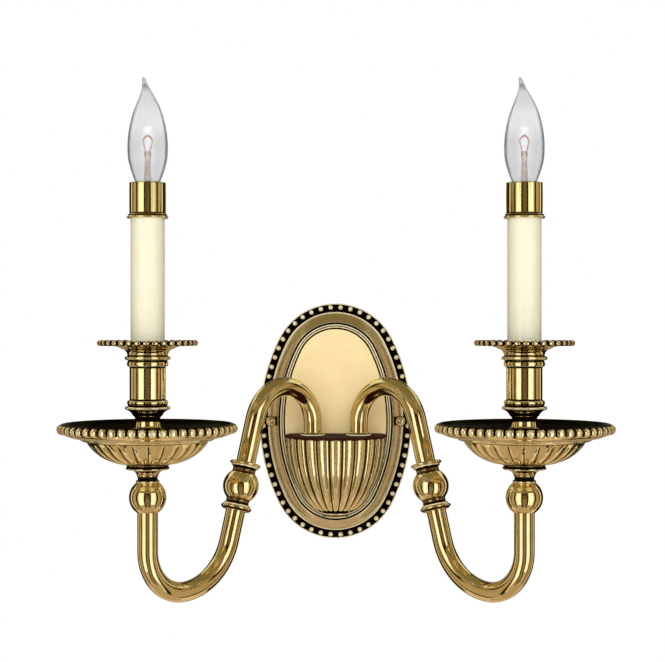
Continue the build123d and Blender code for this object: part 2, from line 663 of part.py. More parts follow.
def make_drip_pan():
    """Wide dish with a gadrooned belly, a stepped cove and a beaded rim."""
    bead_circle = PAN_RADIUS - PAN_BEAD_WIDTH / 2
    rim_inner = bead_circle - 2.6
    under_rim = PAN_RIM_Z - 2.4
    step = PAN_GADROON_Z + 1.0
    below = pan_arc(0)
    above = pan_arc(PAN_WALL)
    bore = STEM_RADIUS + FIT

    def at(radius, height):
        return Vector(radius, 0, height)

    edges = [
        Line(at(bore, PAN_BOTTOM_Z), at(PAN_FLOOR_RADIUS - 0.6, PAN_BOTTOM_Z)),
        Line(at(PAN_FLOOR_RADIUS - 0.6, PAN_BOTTOM_Z), below @ 0),
        below,
        Line(below @ 1, at(PAN_GADROON_RADIUS + 1.3, step)),
        Line(at(PAN_GADROON_RADIUS + 1.3, step), at(PAN_GADROON_RADIUS + 1.3, step + 1.0)),
        Line(at(PAN_GADROON_RADIUS + 1.3, step + 1.0), at(PAN_GADROON_RADIUS + 4.8, step + 2.2)),
        ThreePointArc(
            at(PAN_GADROON_RADIUS + 4.8, step + 2.2),
            at(PAN_GADROON_RADIUS + 10.0, step + 5.3),
            at(bead_circle, under_rim),
        ),
        Line(at(bead_circle, under_rim), at(bead_circle + 1.6, PAN_RIM_Z)),
        Line(at(bead_circle + 1.6, PAN_RIM_Z), at(bead_circle, PAN_RIM_Z + 2.2)),
        Line(at(bead_circle, PAN_RIM_Z + 2.2), at(rim_inner, PAN_RIM_Z + 1.6)),
        Line(at(rim_inner, PAN_RIM_Z + 1.6), at(PAN_GADROON_RADIUS + 5.5, step + 4.8)),
        Line(at(PAN_GADROON_RADIUS + 5.5, step + 4.8), above @ 1),
        above,
        Line(above @ 0, at(PAN_FLOOR_RADIUS - 0.6, PAN_FLOOR_Z)),
        Line(at(PAN_FLOOR_RADIUS - 0.6, PAN_FLOOR_Z), at(bore, PAN_FLOOR_Z)),
        Line(at(bore, PAN_FLOOR_Z), at(bore, PAN_BOTTOM_Z)),
    ]
    dish = revolve(make_face(Wire(edges)), Axis.Z)
    dish = grooved(dish, below, PAN_GADROON_GROOVE, PAN_GADROON_COUNT)
    beads = rim_beads(PAN_BEAD_COUNT, bead_circle, PAN_RIM_Z, PAN_BEAD_WIDTH / 2, PAN_BEAD_HEIGHT / 2)
    return dish.fuse(*beads)


def rim_beads(count, circle, height, half_width, half_height):
    """Beads round a rim: turned barrels, taller than they are wide where half_height says so."""
    bow = half_width
    barrel = turned(
        (0, -half_height),
        (half_width * 0.35, -half_height),
        (half_width * 0.35, half_height, -(bow * 0.65)),
        (0, half_height),
    )
    step = 360 / count
    return [Rot(0, 0, step * (index + 0.5)) * (Pos(circle, 0, height) * barrel) for index in range(count)]


def make_candle_cup():
    """Turned column that stands in the drip pan and carries the cup pan."""
    base = PAN_FLOOR_Z + FACE_GAP
    bore = STEM_RADIUS + FIT
    lower_ring = 19.3
    upper_ring = CUP_TOP_Z - 3.0
    return turned(
        (bore, base),
        (CUP_FOOT_RADIUS, base),
        (CUP_FOOT_RADIUS, base + 2.2, -0.6),
        (11.4, 1.0, 2.4),
        (11.6, 3.2, -0.8),
        (10.3, 4.2),
        (CUP_NECK_RADIUS, 9.6, 0.4),
        (10.2, 12.6),
        (11.6, 14.4),
        (CUP_RING_RADIUS - 1.6, lower_ring - 1.0, 0.6),
        (CUP_RING_RADIUS - 1.6, lower_ring + 1.2, -1.0),
        (CUP_COLUMN_RADIUS + 1.4, lower_ring + 1.9),
        (CUP_COLUMN_RADIUS + 1.4, lower_ring + 5.6, -0.5),
        (CUP_COLUMN_RADIUS, lower_ring + 6.0),
        (CUP_COLUMN_RADIUS, upper_ring - 6.7),
        (CUP_COLUMN_RADIUS + 1.5, upper_ring - 6.3),
        (CUP_COLUMN_RADIUS + 1.5, upper_ring - 2.3, -0.5),
        (CUP_RING_RADIUS - 1.5, upper_ring - 1.7),
        (CUP_RING_RADIUS - 1.5, upper_ring + 1.7, -1.7),
        (CUP_PAN_NECK_RADIUS, upper_ring + 2.2),
        (CUP_PAN_NECK_RADIUS, CUP_TOP_Z),
        (CUP_BORE, CUP_TOP_Z),
        (CUP_BORE, lower_ring + 4.0),
        (bore, lower_ring + 2.0),
    )


def make_cup_pan():
    """Small beaded dish under the candle."""
    bead_circle = CUP_PAN_RADIUS - CUP_PAN_BEAD_RADIUS
    base = CUP_TOP_Z + FACE_GAP
    bore = STEM_RADIUS + FIT
    wall = 1.6
    dish = turned(
        (bore, CUP_PAN_FLOOR_Z - wall),
        (CUP_BORE - FIT, CUP_PAN_FLOOR_Z - wall),
        (CUP_BORE - FIT, base - 2.0),
        (CUP_BORE - FIT - wall, base - 2.0),
        (CUP_BORE - FIT - wall, base - 3.0),
        (CUP_BORE - FIT, base - 3.0),
        (CUP_BORE - FIT, base),
        (CUP_PAN_NECK_RADIUS, base),
        (CUP_PAN_NECK_RADIUS, base + 2.0, 0.3),
        (bead_circle - 6.0, CUP_PAN_RIM_Z - 2.0, 1.4),
        (bead_circle + 1.2, CUP_PAN_RIM_Z - 1.6),
        (bead_circle + 1.2, CUP_PAN_RIM_Z + 1.4, -0.4),
        (bead_circle - 2.4, CUP_PAN_RIM_Z + 1.4),
        (bead_circle - 8.0, CUP_PAN_RIM_Z - 0.4),
        (SLEEVE_RADIUS + 5.0, CUP_PAN_FLOOR_Z, -0.4),
        (bore, CUP_PAN_FLOOR_Z),
    )
    radius = CUP_PAN_BEAD_RADIUS
    beads = rim_beads(CUP_PAN_BEAD_COUNT, bead_circle, CUP_PAN_RIM_Z, radius * 1.1, radius * 1.05)
    return dish.fuse(*beads)


def make_stem():
    """Hollow threaded stem that clamps the whole candle stack."""
    return ring(STEM_RADIUS, STEM_BORE, BALL_SOCKET_Z + FACE_GAP, STEM_TOP_Z)


def make_stem_nuts():
    """One nut on the cup pan and one on the holder bracket's foot."""
    bore = STEM_RADIUS + FIT / 2
    return [hex_nut(STEM_NUT_FLATS, bore, base, STEM_NUT_THICKNESS) for base in (LOWER_NUT_Z, UPPER_NUT_Z)]


def make_holder_bracket():
    """Steel leg from the stem up to the lampholder: a foot ring, a tall side and a top tab."""
    offset = HOLDER_RADIUS - BRACKET_THICKNESS
    foot = extrude(Circle(offset), BRACKET_THICKNESS)
    foot = Pos(0, 0, BRACKET_FOOT_Z) * foot
    height = HOLDER_BOTTOM_Z - FACE_GAP - BRACKET_FOOT_Z
    leg = Pos(offset - BRACKET_THICKNESS / 2, 0, BRACKET_FOOT_Z + height / 2)
    leg = leg * Box(BRACKET_THICKNESS, BRACKET_WIDTH, height)
    tab_length = offset + 3.0
    tab_z = HOLDER_BOTTOM_Z - FACE_GAP - BRACKET_THICKNESS / 2
    tab = Pos(offset - tab_length / 2, 0, tab_z) * Box(tab_length, BRACKET_WIDTH, BRACKET_THICKNESS)
    foot = foot - Cylinder(STEM_RADIUS + FIT, THROUGH)
    tab = tab - Cylinder(LEAD_RADIUS + LOOSE, THROUGH)
    return foot + leg + tab


# ---------------------------------------------------------------- candle, holder and lamp, made about Z
def make_candle_sleeve():
    """Cream tube over the lampholder, standing in the cup pan."""
    top = CAP_TOP_Z - CAP_WALL - FACE_GAP
    return ring(SLEEVE_RADIUS, SLEEVE_RADIUS - SLEEVE_WALL, CUP_PAN_FLOOR_Z + LOOSE, top)


def make_sleeve_cap():
    """Brass cap over the sleeve's top, with a collar and a hole for the lamp."""
    inner = SLEEVE_RADIUS + FIT
    outer = inner + CAP_WALL
    return turned(
        (inner, CAP_BOTTOM_Z),
        (CAP_COLLAR_RADIUS - 0.4, CAP_BOTTOM_Z),
        (CAP_COLLAR_RADIUS - 0.4, CAP_BOTTOM_Z + 1.6, -0.4),
        (outer + 0.5, CAP_BOTTOM_Z + CAP_COLLAR_HEIGHT, 0.4),
        (outer, CAP_BOTTOM_Z + CAP_COLLAR_HEIGHT + 0.6),
        (outer, CAP_TOP_Z - 1.4),
        (outer - 1.4, CAP_TOP_Z, -0.4),
        (CAP_OPENING_RADIUS, CAP_TOP_Z),
        (CAP_OPENING_RADIUS, CAP_TOP_Z - CAP_WALL),
        (inner, CAP_TOP_Z - CAP_WALL),
    )


def holder_bore():
    """Radius of the moulded well that takes the screw shell."""
    return LAMP_THREAD_RADIUS + LOOSE + SHELL_WALL + FIT


def make_lamp_holder():
    """Moulded lampholder body with a well from the top."""
    well = holder_bore()
    return turned(
        (0, HOLDER_BOTTOM_Z),
        (HOLDER_RADIUS - 1.0, HOLDER_BOTTOM_Z),
        (HOLDER_RADIUS, HOLDER_BOTTOM_Z + 1.0),
        (HOLDER_RADIUS, HOLDER_TOP_Z - 1.0),
        (HOLDER_RADIUS - 1.0, HOLDER_TOP_Z),
        (well, HOLDER_TOP_Z),
        (well, HOLDER_FLOOR_Z),
        (0, HOLDER_FLOOR_Z),
    )


def make_holder_shell():
    """Brass screw shell lining the well, with its ring ridges."""
    inner = LAMP_THREAD_RADIUS + LOOSE
    outer = inner + SHELL_WALL
    bottom = LAMP_BASE_BOTTOM_Z - 1.5
    return ring(outer, inner, bottom, HOLDER_TOP_Z - 0.6)


def make_holder_contact():
    """Centre contact on the floor of the well: a riveted disc with a raised button."""
    base = HOLDER_FLOOR_Z + FACE_GAP
    top = LAMP_BASE_BOTTOM_Z - LOOSE
    return turned(
        (0, base),
        (4.4, base),
        (4.4, base + 0.8),
        (1.6, base + 0.8),
        (1.6, top - 0.8),
        (0.8, top, -0.2),
        (0, top),
    )


def make_lamp_base():
    """Candelabra screw base: contact button, insulating cone, ring ridges and skirt."""
    thread_start = LAMP_BASE_BOTTOM_Z + 3.4
    root = LAMP_THREAD_RADIUS - LAMP_THREAD_DEPTH
    steps = [(0, LAMP_BASE_BOTTOM_Z), (1.6, LAMP_BASE_BOTTOM_Z), (1.8, LAMP_BASE_BOTTOM_Z + 0.9)]
    steps.append((root - 0.6, thread_start - 0.8))
    steps.append((root, thread_start))
    for ridge in range(LAMP_THREAD_RIDGES):
        height = thread_start + (ridge + 0.5) * LAMP_THREAD_PITCH
        steps.append((LAMP_THREAD_RADIUS, height))
        steps.append((root, height + LAMP_THREAD_PITCH / 2))
    steps.append((root, LAMP_BASE_TOP_Z - 2.6))
    steps.append((LAMP_SKIRT_RADIUS - 0.7, LAMP_BASE_TOP_Z - 1.2))
    steps.append((LAMP_SKIRT_RADIUS, LAMP_BASE_TOP_Z))
    steps.append((0, LAMP_BASE_TOP_Z))
    return turned(*steps)


def glass_curve(inset):
    """Side of the lamp glass from its neck to the start of its tip."""
    wide = GLASS_RADIUS - inset
    points = [
        (LAMP_SKIRT_RADIUS - 0.2 - inset, LAMP_BASE_TOP_Z + FACE_GAP),
        (9.4 - inset, CAP_TOP_Z + 0.6),
        (12.8 - inset, GLASS_WIDEST_Z - 17.8),
        (wide - 0.6, GLASS_WIDEST_Z - 8.0),
        (wide, GLASS_WIDEST_Z),
        (wide - 1.1, GLASS_WIDEST_Z + 12.0),
        (wide - 3.6, GLASS_WIDEST_Z + 23.5),
        (wide - 7.2, GLASS_WIDEST_Z + 32.5),
    ]
    return Spline([(x, 0, z) for x, z in points])


def glass_body(inset):
    """Solid bulb up to the start of its tip."""
    side = glass_curve(inset)
    foot = side @ 0
    shoulder = side @ 1
    edges = [
        side,
        Line(shoulder, (0, 0, shoulder.Z)),
        Line((0, 0, shoulder.Z), (0, 0, foot.Z)),
        Line((0, 0, foot.Z), foot),
    ]
    return revolve(make_face(Wire(edges)), Axis.Z)


def make_lamp_glass():
    """Flame-shaped clear glass with a bent tip, hollow below the tip."""
    shoulder = glass_curve(0) @ 1
    rise = GLASS_TIP_Z - shoulder.Z
    sections = []
    for share, radius_share, bend_share in ((0, 1, 0), (0.33, 0.6, 0.16), (0.66, 0.3, 0.52), (1, 0.17, 1)):
        place = Pos(-GLASS_TIP_BEND * bend_share, 0, shoulder.Z + rise * share)
        sections.append(place * Circle(shoulder.X * radius_share))
    tip = loft(sections)
    return (glass_body(0) + tip) - glass_body(GLASS_WALL)


def make_lamp_stem():
    """Pressed glass mount inside the lamp."""
    base = LAMP_BASE_TOP_Z + FACE_GAP
    return turned(
        (0, base),
        (LAMP_SKIRT_RADIUS - GLASS_WALL - 0.4, base),
        (2.6, base + 7.0, 1.0),
        (1.7, base + 20.0),
        (1.5, FILAMENT_Z - 9.0),
        (0, FILAMENT_Z - 8.0),
    )


def make_lamp_filament():
    """Support wires and the arched filament between their ends."""
    base = FILAMENT_Z - 10.0
    left = Vector(-FILAMENT_HALF_SPAN, 0, FILAMENT_Z)
    right = Vector(FILAMENT_HALF_SPAN, 0, FILAMENT_Z)
    crown = Vector(0, 0, FILAMENT_Z + 3.0)
    start = Vector(-1.8, 0, base)
    end = Vector(1.8, 0, base)
    path = FilletPolyline([start, left, crown, right, end], radius=[0.8, 1.2, 0.8])
    return sweep((path ^ 0) * Circle(LEAD_WIRE_RADIUS), path=path)


# ---------------------------------------------------------------- wires
def make_lamp_lead(side):
    """Insulated lead from the lampholder down the stem, through both arm tubes and into the bowl."""
    holder_end = arm_point(side, ARM_REACH, HOLDER_BOTTOM_Z - FACE_GAP)
    lower = lower_arm_path(side, 0, BEND_Z + OUTER_BEND_RADIUS + 1)[:-1]
    riser = Line(lower[-1] @ 1, holder_end)
    upper = upper_arm_path(side, ARM_ROOT_Z - 8.0, 0)
    return rod_along([*upper, *lower, riser], LEAD_RADIUS)


def make_wire_connectors():
    """Screw-on connectors over the leads' ends in the bowl."""
    top = ARM_ROOT_Z - 3.0
    cone = turned(
        (LEAD_RADIUS + FIT, top),
        (CONNECTOR_RADIUS, top),
        (CONNECTOR_RADIUS * 0.62, top - CONNECTOR_LENGTH),
        (0, top - CONNECTOR_LENGTH),
        (0, top - 8.0),
        (LEAD_RADIUS + FIT, top - 8.0),
    )
    return [arm_root(side) * cone for side in (-1, 1)]


# ---------------------------------------------------------------- assembly
def save(name, shape):
    """Write one node; a list of solids shares the node."""
    if isinstance(shape, list):
        shape = Compound(children=[part if isinstance(part, Solid) else part.solids()[0] for part in shape])
    shape.label = name
    export_step(shape, f"parts/{name}.step")


def candle_nodes():
    """Every piece on a candle axis, made about Z."""
    return {
        "arm_ball": make_arm_ball(),
        "pan_seat": make_pan_seat(),
        "drip_pan": make_drip_pan(),
        "candle_cup": make_candle_cup(),
        "cup_pan": make_cup_pan(),
        "threaded_stem": make_stem(),
        "stem_nuts": make_stem_nuts(),
        "holder_bracket": make_holder_bracket(),
        "lamp_holder": make_lamp_holder(),
        "holder_shell": make_holder_shell(),
        "holder_contact": make_holder_contact(),
        "candle_sleeve": make_candle_sleeve(),
        "sleeve_cap": make_sleeve_cap(),
        "lamp_base": make_lamp_base(),
        "lamp_glass": make_lamp_glass(),
        "lamp_stem": make_lamp_stem(),
        "lamp_filament": make_lamp_filament(),
    }


def arm_nodes(side):
    """Every piece that follows one arm."""
    return {
        "arm_flange": make_arm_flange(side),
        "arm_upper": tube_along(upper_arm_path(side, ARM_ROOT_Z, TUBE_STOP + FACE_GAP)),
        "arm_lower": tube_along(lower_arm_path(side, TUBE_STOP + FACE_GAP, BALL_SOCKET_Z - FACE_GAP)),
        "knop_ball": make_knop_ball(side),
        "knop_collar_top": make_knop_collar(side, 1),
        "knop_collar_bottom": make_knop_collar(side, -1),
        "lamp_lead": make_lamp_lead(side),
    }


def main():
    """Build every node and write it."""
    save("backplate", make_backplate())
    save("mounting_strap", make_mounting_strap())
    save("strap_studs", make_strap_studs())
    save("stud_nuts", make_stud_nuts())
    save("cap_nuts", make_cap_nuts())
    save("ground_screw", make_ground_screw())
    save("bowl_shell", make_bowl_shell())
    save("bowl_cover", make_bowl_cover())
    save("bowl_screws", make_bowl_screws())
    save("arm_locknuts", make_arm_locknuts())
    save("wire_connectors", make_wire_connectors())
    stack = candle_nodes()
    for prefix, side in (("left", -1), ("right", 1)):
        place = Pos(side * CANDLE_X, CANDLE_Y, 0)
        for name, shape in stack.items():
            moved = [place * piece for piece in shape] if isinstance(shape, list) else place * shape
            save(f"{prefix}_{name}", moved)
        for name, shape in arm_nodes(side).items():
            save(f"{prefix}_{name}", shape)


main()
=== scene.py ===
"""Looks of the double arm wall sconce: polished brass plate, fluted bowl, two tube arms and two candle lamps.

Sizes are millimetres and become metres in piece(). The frame's origin is on the wall, behind the centre of
the backplate; +X is to the right seen from the room, +Z is up and the sconce stands out towards -Y.
A part of a piece is (points, quads, triangles, tarnish): the last is 0 on clean metal, 1 where patina
and painted shade are black, and below 0 where a pale highlight is painted. Outlines are lists of (across, up)
steps, see traced().
"""
from math import asin, cos, hypot, pi, radians, sin, sqrt

import bmesh
import bpy
import numpy as np
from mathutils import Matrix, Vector


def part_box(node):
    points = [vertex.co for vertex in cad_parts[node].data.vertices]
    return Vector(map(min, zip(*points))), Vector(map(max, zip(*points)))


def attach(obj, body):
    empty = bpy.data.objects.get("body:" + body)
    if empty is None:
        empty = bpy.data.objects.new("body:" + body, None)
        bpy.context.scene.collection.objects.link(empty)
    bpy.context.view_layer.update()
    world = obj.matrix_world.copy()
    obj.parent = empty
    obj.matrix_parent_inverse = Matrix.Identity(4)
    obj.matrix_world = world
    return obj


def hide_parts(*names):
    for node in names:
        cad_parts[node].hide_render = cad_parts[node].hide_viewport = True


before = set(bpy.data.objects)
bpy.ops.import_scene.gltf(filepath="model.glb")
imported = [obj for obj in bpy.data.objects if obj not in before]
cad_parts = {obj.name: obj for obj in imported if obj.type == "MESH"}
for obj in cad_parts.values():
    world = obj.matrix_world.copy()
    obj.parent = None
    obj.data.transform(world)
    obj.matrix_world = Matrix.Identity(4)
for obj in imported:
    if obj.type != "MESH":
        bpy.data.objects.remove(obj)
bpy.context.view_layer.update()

MM = 0.001

# ---- sizes, in millimetres
AROUND = 96                  # faces round a turned piece
CORNER = 0.3                 # usual rounding of a turned edge
PATINA_AND_SHADE_REACH = 0.6           # how far the patina and painted shade reach out of a turned groove
HIGHLIGHT_PER_RADIAN = 0.6                    # how pale a highlight is painted on an edge for each radian that it turns
FIT = 0.05                   # gap between the faces of pieces that touch

PLATE_END_RADIUS = 55.0      # top and bottom arcs of the four-centre oval
PLATE_WALL = 1.6
PLATE_RIM_HEIGHT = 5.0
CHANNEL_HEIGHT = 4.2
RIDGE_HEIGHT = 6.9
COVE_FOOT_HEIGHT = 6.0
COVE_TOP_HEIGHT = 12.2
CREST_HEIGHT = 13.9
PANEL_HEIGHT = 12.5
BEAD_INSET = 3.3
CHANNEL_INSET = 7.2
RIDGE_INSET = 8.5
COVE_INSET = 16.4
CREST_INSET = 18.1
PANEL_INSET = 22.4
PLATE_BEADS = 60
PLATE_BEAD_RADIUS = 2.1
PLATE_BEAD_RISE = 0.35       # height of a bead's centre in the channel, in bead radii
WIRE_HOLE_RADIUS = 8.0
WIRE_HOLE_Z = -38.0
STUD_X = 56.3
BOSS_RADIUS = 4.3
BOSS_HEIGHT = 9.0
CAP_NUT_RADIUS = 4.5
CAP_NUT_COLLAR = 1.2

BOWL_RADIUS = 43.0
BOWL_AXIS_OUT = 32.0
BOWL_TOP_Z = -12.0
BOWL_DEPTH = 67.0
BOWL_WALL = 1.5
BOWL_FLUTES = 24
FLUTE_DEPTH = 2.3
FLUTE_FULLNESS = 0.985       # 1 would be half round, 0 flat
PETAL_START = radians(62.5)  # turn of the bowl's outline where the gaps between the petal tips start
PETAL_ROUND = radians(6)     # how much further the middle of a petal goes
PETAL_EDGE = radians(0.8)
BOWL_FOOT_RADIUS = 11.0

TUBE_RADIUS = 7.94
TUBE_WALL = 1.2
ARM_ROOT_X = 19.4
ARM_ROOT_OUT = 42.0
ARM_ROOT_Z = -25.0
LOOP_U = 31.5
LOOP_TOP_Z = 32.0
KNOP_U = 81.2
KNOP_Z = -47.0
ARM_LEAN = 16.2
BEND_U = 141.6
BEND_Z = -125.7
COVER_THICKNESS = 1.6
FLANGE_RADIUS = 10.1
FLANGE_HEIGHT = 2.8
KNOP_RADIUS = 14.4
KNOP_NECK_RADIUS = 9.6
KNOP_NECK_END = 16.6
COLLAR_RADIUS = 12.6
COLLAR_THICKNESS = 2.5
SOCKET_DEPTH = 6.6
ARM_BALL_RADIUS = 14.3
ARM_BALL_Z = -49.2
ARM_BALL_TOP_RADIUS = 8.4

STEM_BORE = 4.97             # of the pieces that the threaded stem clamps
SEAT_TOP_Z = -24.2
SEAT_RADIUS = 17.0
PAN_RIM_Z = 3.4
PAN_BEADS = 56
PAN_BEAD_HEIGHT = 7.0
PAN_BEAD_WIDTH = 5.6
PAN_GADROONS = 24
GADROON_DEPTH = 1.7
GADROON_FULLNESS = 0.95
GADROON_RADIUS = 46.4
GADROON_Z = -6.7
PAN_FLOOR_RADIUS = 18.0
CUP_FOOT_RADIUS = 16.5
CUP_NECK_RADIUS = 9.3
CUP_COLUMN_RADIUS = 13.8
CUP_RING_RADIUS = 17.8
CUP_RING_Z = 19.3
CUP_TOP_Z = 60.4
CUP_BORE = 10.6
CUP_PAN_RADIUS = 38.6
CUP_PAN_RIM_Z = 68.9
CUP_PAN_BEADS = 36
CUP_PAN_BEAD_RADIUS = 2.3
CUP_PAN_NECK_RADIUS = 16.6
CUP_PAN_FLOOR_Z = 66.6

SLEEVE_RADIUS = 13.0
SLEEVE_WALL = 1.0
CAP_TOP_Z = 191.7
CAP_BOTTOM_Z = 164.2
CAP_WALL = 0.8
CAP_OPENING_RADIUS = 12.05
CAP_COLLAR_RADIUS = 15.9
GLASS_FOOT_Z = 187.05
GLASS_TIP_Z = 272.3
GLASS_BEND_Z = 246.0         # where the axis of the glass starts to bend
GLASS_TIP_BEND = 3.4
GLASS_WALL = 0.8
FILAMENT_Z = 224.0
FILAMENT_HALF_SPAN = 3.6

# ---- places from the frame
SIDES = {"left": -1, "right": 1}


def box_mm(node):
    """Lowest and highest corner of a CAD node, in millimetres."""
    low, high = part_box(node)
    return np.array(low) / MM, np.array(high) / MM


PLATE_HALF_WIDTH, _, PLATE_HALF_HEIGHT = box_mm("backplate")[1]
CUP_LOW, CUP_HIGH = box_mm("right_candle_cup")
CANDLE_X, CANDLE_Y, _ = (CUP_LOW + CUP_HIGH) / 2
PAN_LOW, PAN_HIGH = box_mm("right_drip_pan")
PAN_RADIUS = (PAN_HIGH[0] - PAN_LOW[0]) / 2
ARM_PLAN = radians(45)
ARM_REACH = (CANDLE_X - ARM_ROOT_X) / cos(ARM_PLAN)


# ---- surfaces
SAME_PLACE = 1e-6            # points nearer than this are one


def full_turn(count):
    """Evenly spaced angles once round."""
    return np.linspace(0, 2 * pi, count, endpoint=False)


def about_z(radius, turn, height):
    """Points at a distance from the Z axis, an angle about it and a height."""
    return np.stack(np.broadcast_arrays(radius * np.cos(turn), radius * np.sin(turn), height), -1)


def sheet_faces(rows, columns, close_rows, close_columns):
    """Quads of a grid of points; they face the way along a row crossed with the way to the next row."""
    row = np.arange(rows if close_rows else rows - 1)
    column = np.arange(columns if close_columns else columns - 1)
    row, column = np.meshgrid(row, column, indexing="ij")
    next_row, next_column = (row + 1) % rows, (column + 1) % columns
    corners = (row * columns + column, row * columns + next_column,
               next_row * columns + next_column, next_row * columns + column)
    return np.stack(corners, -1).reshape(-1, 4)


def grid_part(grid, patina_and_painted_light=0.0, close_rows=False):
    """Part from a (rows, columns, 3) array whose columns go once round.

    The mark of patina, painted shade and painted highlight is one value, one for each row or one for each
    point. Where the rows aren't closed as well, a first or last row that has shrunk to a point becomes a
    pole.
    """
    rows, columns, _ = grid.shape
    patina_and_painted_light = np.asarray(patina_and_painted_light, float)
    shade = np.broadcast_to(patina_and_painted_light[:, None] if patina_and_painted_light.ndim == 1 else patina_and_painted_light, (rows, columns))
    quads = sheet_faces(rows, columns, close_rows, True)
    triangles = np.zeros((0, 3), int)
    ring = np.arange(columns)
    ahead = (ring + 1) % columns
    for end, inner in () if close_rows else ((0, 1), (rows - 1, rows - 2)):
        if np.ptp(grid[end], axis=0).max() < SAME_PLACE:
            rim = [inner * columns + ahead, inner * columns + ring]
            fan = [np.full(columns, end * columns), *(rim if end < inner else rim[::-1])]
            quads = quads[(quads // columns != end).all(axis=1)]
            triangles = np.concatenate([triangles, np.stack(fan, -1)])
    return grid.reshape(-1, 3), quads, triangles, shade.ravel()


def moved(part, x=0.0, y=0.0, z=0.0):
    """The part shifted."""
    points, *rest = part
    return points + np.array([x, y, z]), *rest


def joined(parts):
    """Several parts as one."""
    shifts = np.cumsum([0] + [len(part[0]) for part in parts[:-1]])
    numbered = [(points, quads + shift, triangles + shift, shade)
                for (points, quads, triangles, shade), shift in zip(parts, shifts)]
    return [np.concatenate(arrays) for arrays in zip(*numbered)]


def trim(mesh, point, normal):
    """Cut away what lies past a plane."""
    work = bmesh.new()
    work.from_mesh(mesh)
    everything = work.verts[:] + work.edges[:] + work.faces[:]
    plane = {"plane_co": Vector(point) * MM, "plane_no": Vector(normal)}
    bmesh.ops.bisect_plane(work, geom=everything, clear_outer=True, **plane)
    work.to_mesh(mesh)
    work.free()


def scene_object(name, data):
    """New object of the scene."""
    made = bpy.data.objects.new(name, data)
    bpy.context.scene.collection.objects.link(made)
    return made


def piece(name, parts, material=None, body="root", replaces=(), cut=None, thicken=0.0):
    """One object from parts; cut is a plane (point, normal) where it ends, thicken gives a sheet its wall."""
    points, quads, triangles, shade = joined(parts)
    used, indices = np.unique(np.concatenate([quads.ravel(), triangles.ravel()]), return_inverse=True)
    split = quads.size
    faces = indices[:split].reshape(-1, 4).tolist() + indices[split:].reshape(-1, 3).tolist()
    mesh = bpy.data.meshes.new(name)
    mesh.from_pydata(points[used] * MM, [], faces)
    layer = mesh.attributes.new("patina_and_painted_light", "FLOAT", "POINT")
    layer.data.foreach_set("value", np.ascontiguousarray(shade[used], np.float32))
    if cut:
        trim(mesh, *cut)
    mesh.shade_smooth()
    mesh.validate()
    mesh.materials.append(material or BRASS)
    made = scene_object(name, mesh)
    if thicken:
        wall = made.modifiers.new("wall", "SOLIDIFY")
        wall.thickness = thicken * MM
        wall.offset = -1
    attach(made, body)
    if replaces:
        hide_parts(*replaces)
    return made


# ---- outlines
ARC_STEPS = 12
SUPPORTS = (0.5, 1.1, 2.0)   # places of extra points near the ends of a straight stretch
SHARP = 0.94                 # cosine of the turn from which a corner is rounded


def traced(steps, closed=True, spacing=ARC_STEPS):
    """Polyline through (across, up) steps; a third number bows the edge that leads there to its right.

    A bowed edge is the circular arc through its two ends and the bowed middle: its radius is
    (half chord squared + bow squared) / (2 bow), and its points are evenly turned about its centre.
    """
    starts = [steps[-1] if closed else None, *steps[:-1]]
    points = []
    for before, here in zip(starts, steps):
        if before is not None and len(here) == 3 and abs(here[2]) > SAME_PLACE:
            start, end, bow = np.array(before[:2]), np.array(here[:2]), here[2]
            chord = end - start
            half = np.hypot(*chord) / 2
            right = np.array([chord[1], -chord[0]]) / (2 * half)
            radius = (half ** 2 + bow ** 2) / (2 * bow)
            centre = (start + end) / 2 + right * (bow - radius)
            turn = np.arctan2(*(start - centre)[::-1])
            turn = turn + 4 * np.arctan(bow / half) * np.linspace(0, 1, spacing + 1)[1:-1]
            points.extend(centre + abs(radius) * np.stack([np.cos(turn), np.sin(turn)], -1))
        points.append(np.array(here[:2], float))
    return np.array(points)


def supported(line, closed=True):
    """More points near both ends of each straight stretch, where tarnish fades and shading turns flat."""
    result = []
    for start, end in zip(line, np.roll(line, -1, 0) if closed else line[1:]):
        way = end - start
        length = np.hypot(*way)
        near = [step for step in SUPPORTS if 2 * step < length - 0.4]
        places = [0.0] + near + [length - step for step in near[::-1]]
        result.extend(start + way * (place / max(length, 1e-9)) for place in places)
    if not closed:
        result.append(line[-1])
    return np.array(result)


def softened(line, radius, closed=True):
    """The polyline with each corner of more than 20 degrees turned by a curve between two support points."""
    before, after = np.roll(line, 1, 0), np.roll(line, -1, 0)
    result = []
    for index, (back, here, ahead) in enumerate(zip(before - line, line, after - line)):
        back_length, ahead_length = np.hypot(*back), np.hypot(*ahead)
        at_end = not closed and index in (0, len(line) - 1)
        if at_end or np.dot(-back, ahead) > SHARP * back_length * ahead_length:
            result.append(here)
            continue
        reach = min(radius, 0.3 * back_length, 0.3 * ahead_length)
        start = back / back_length * reach
        end = ahead / ahead_length * reach
        curve = [here + (1 - share) ** 2 * start + share ** 2 * end for share in (0, 0.25, 0.5, 0.75, 1)]
        result.extend([here + 1.5 * start, *curve, here + 1.5 * end])
    return supported(np.array(result), closed)


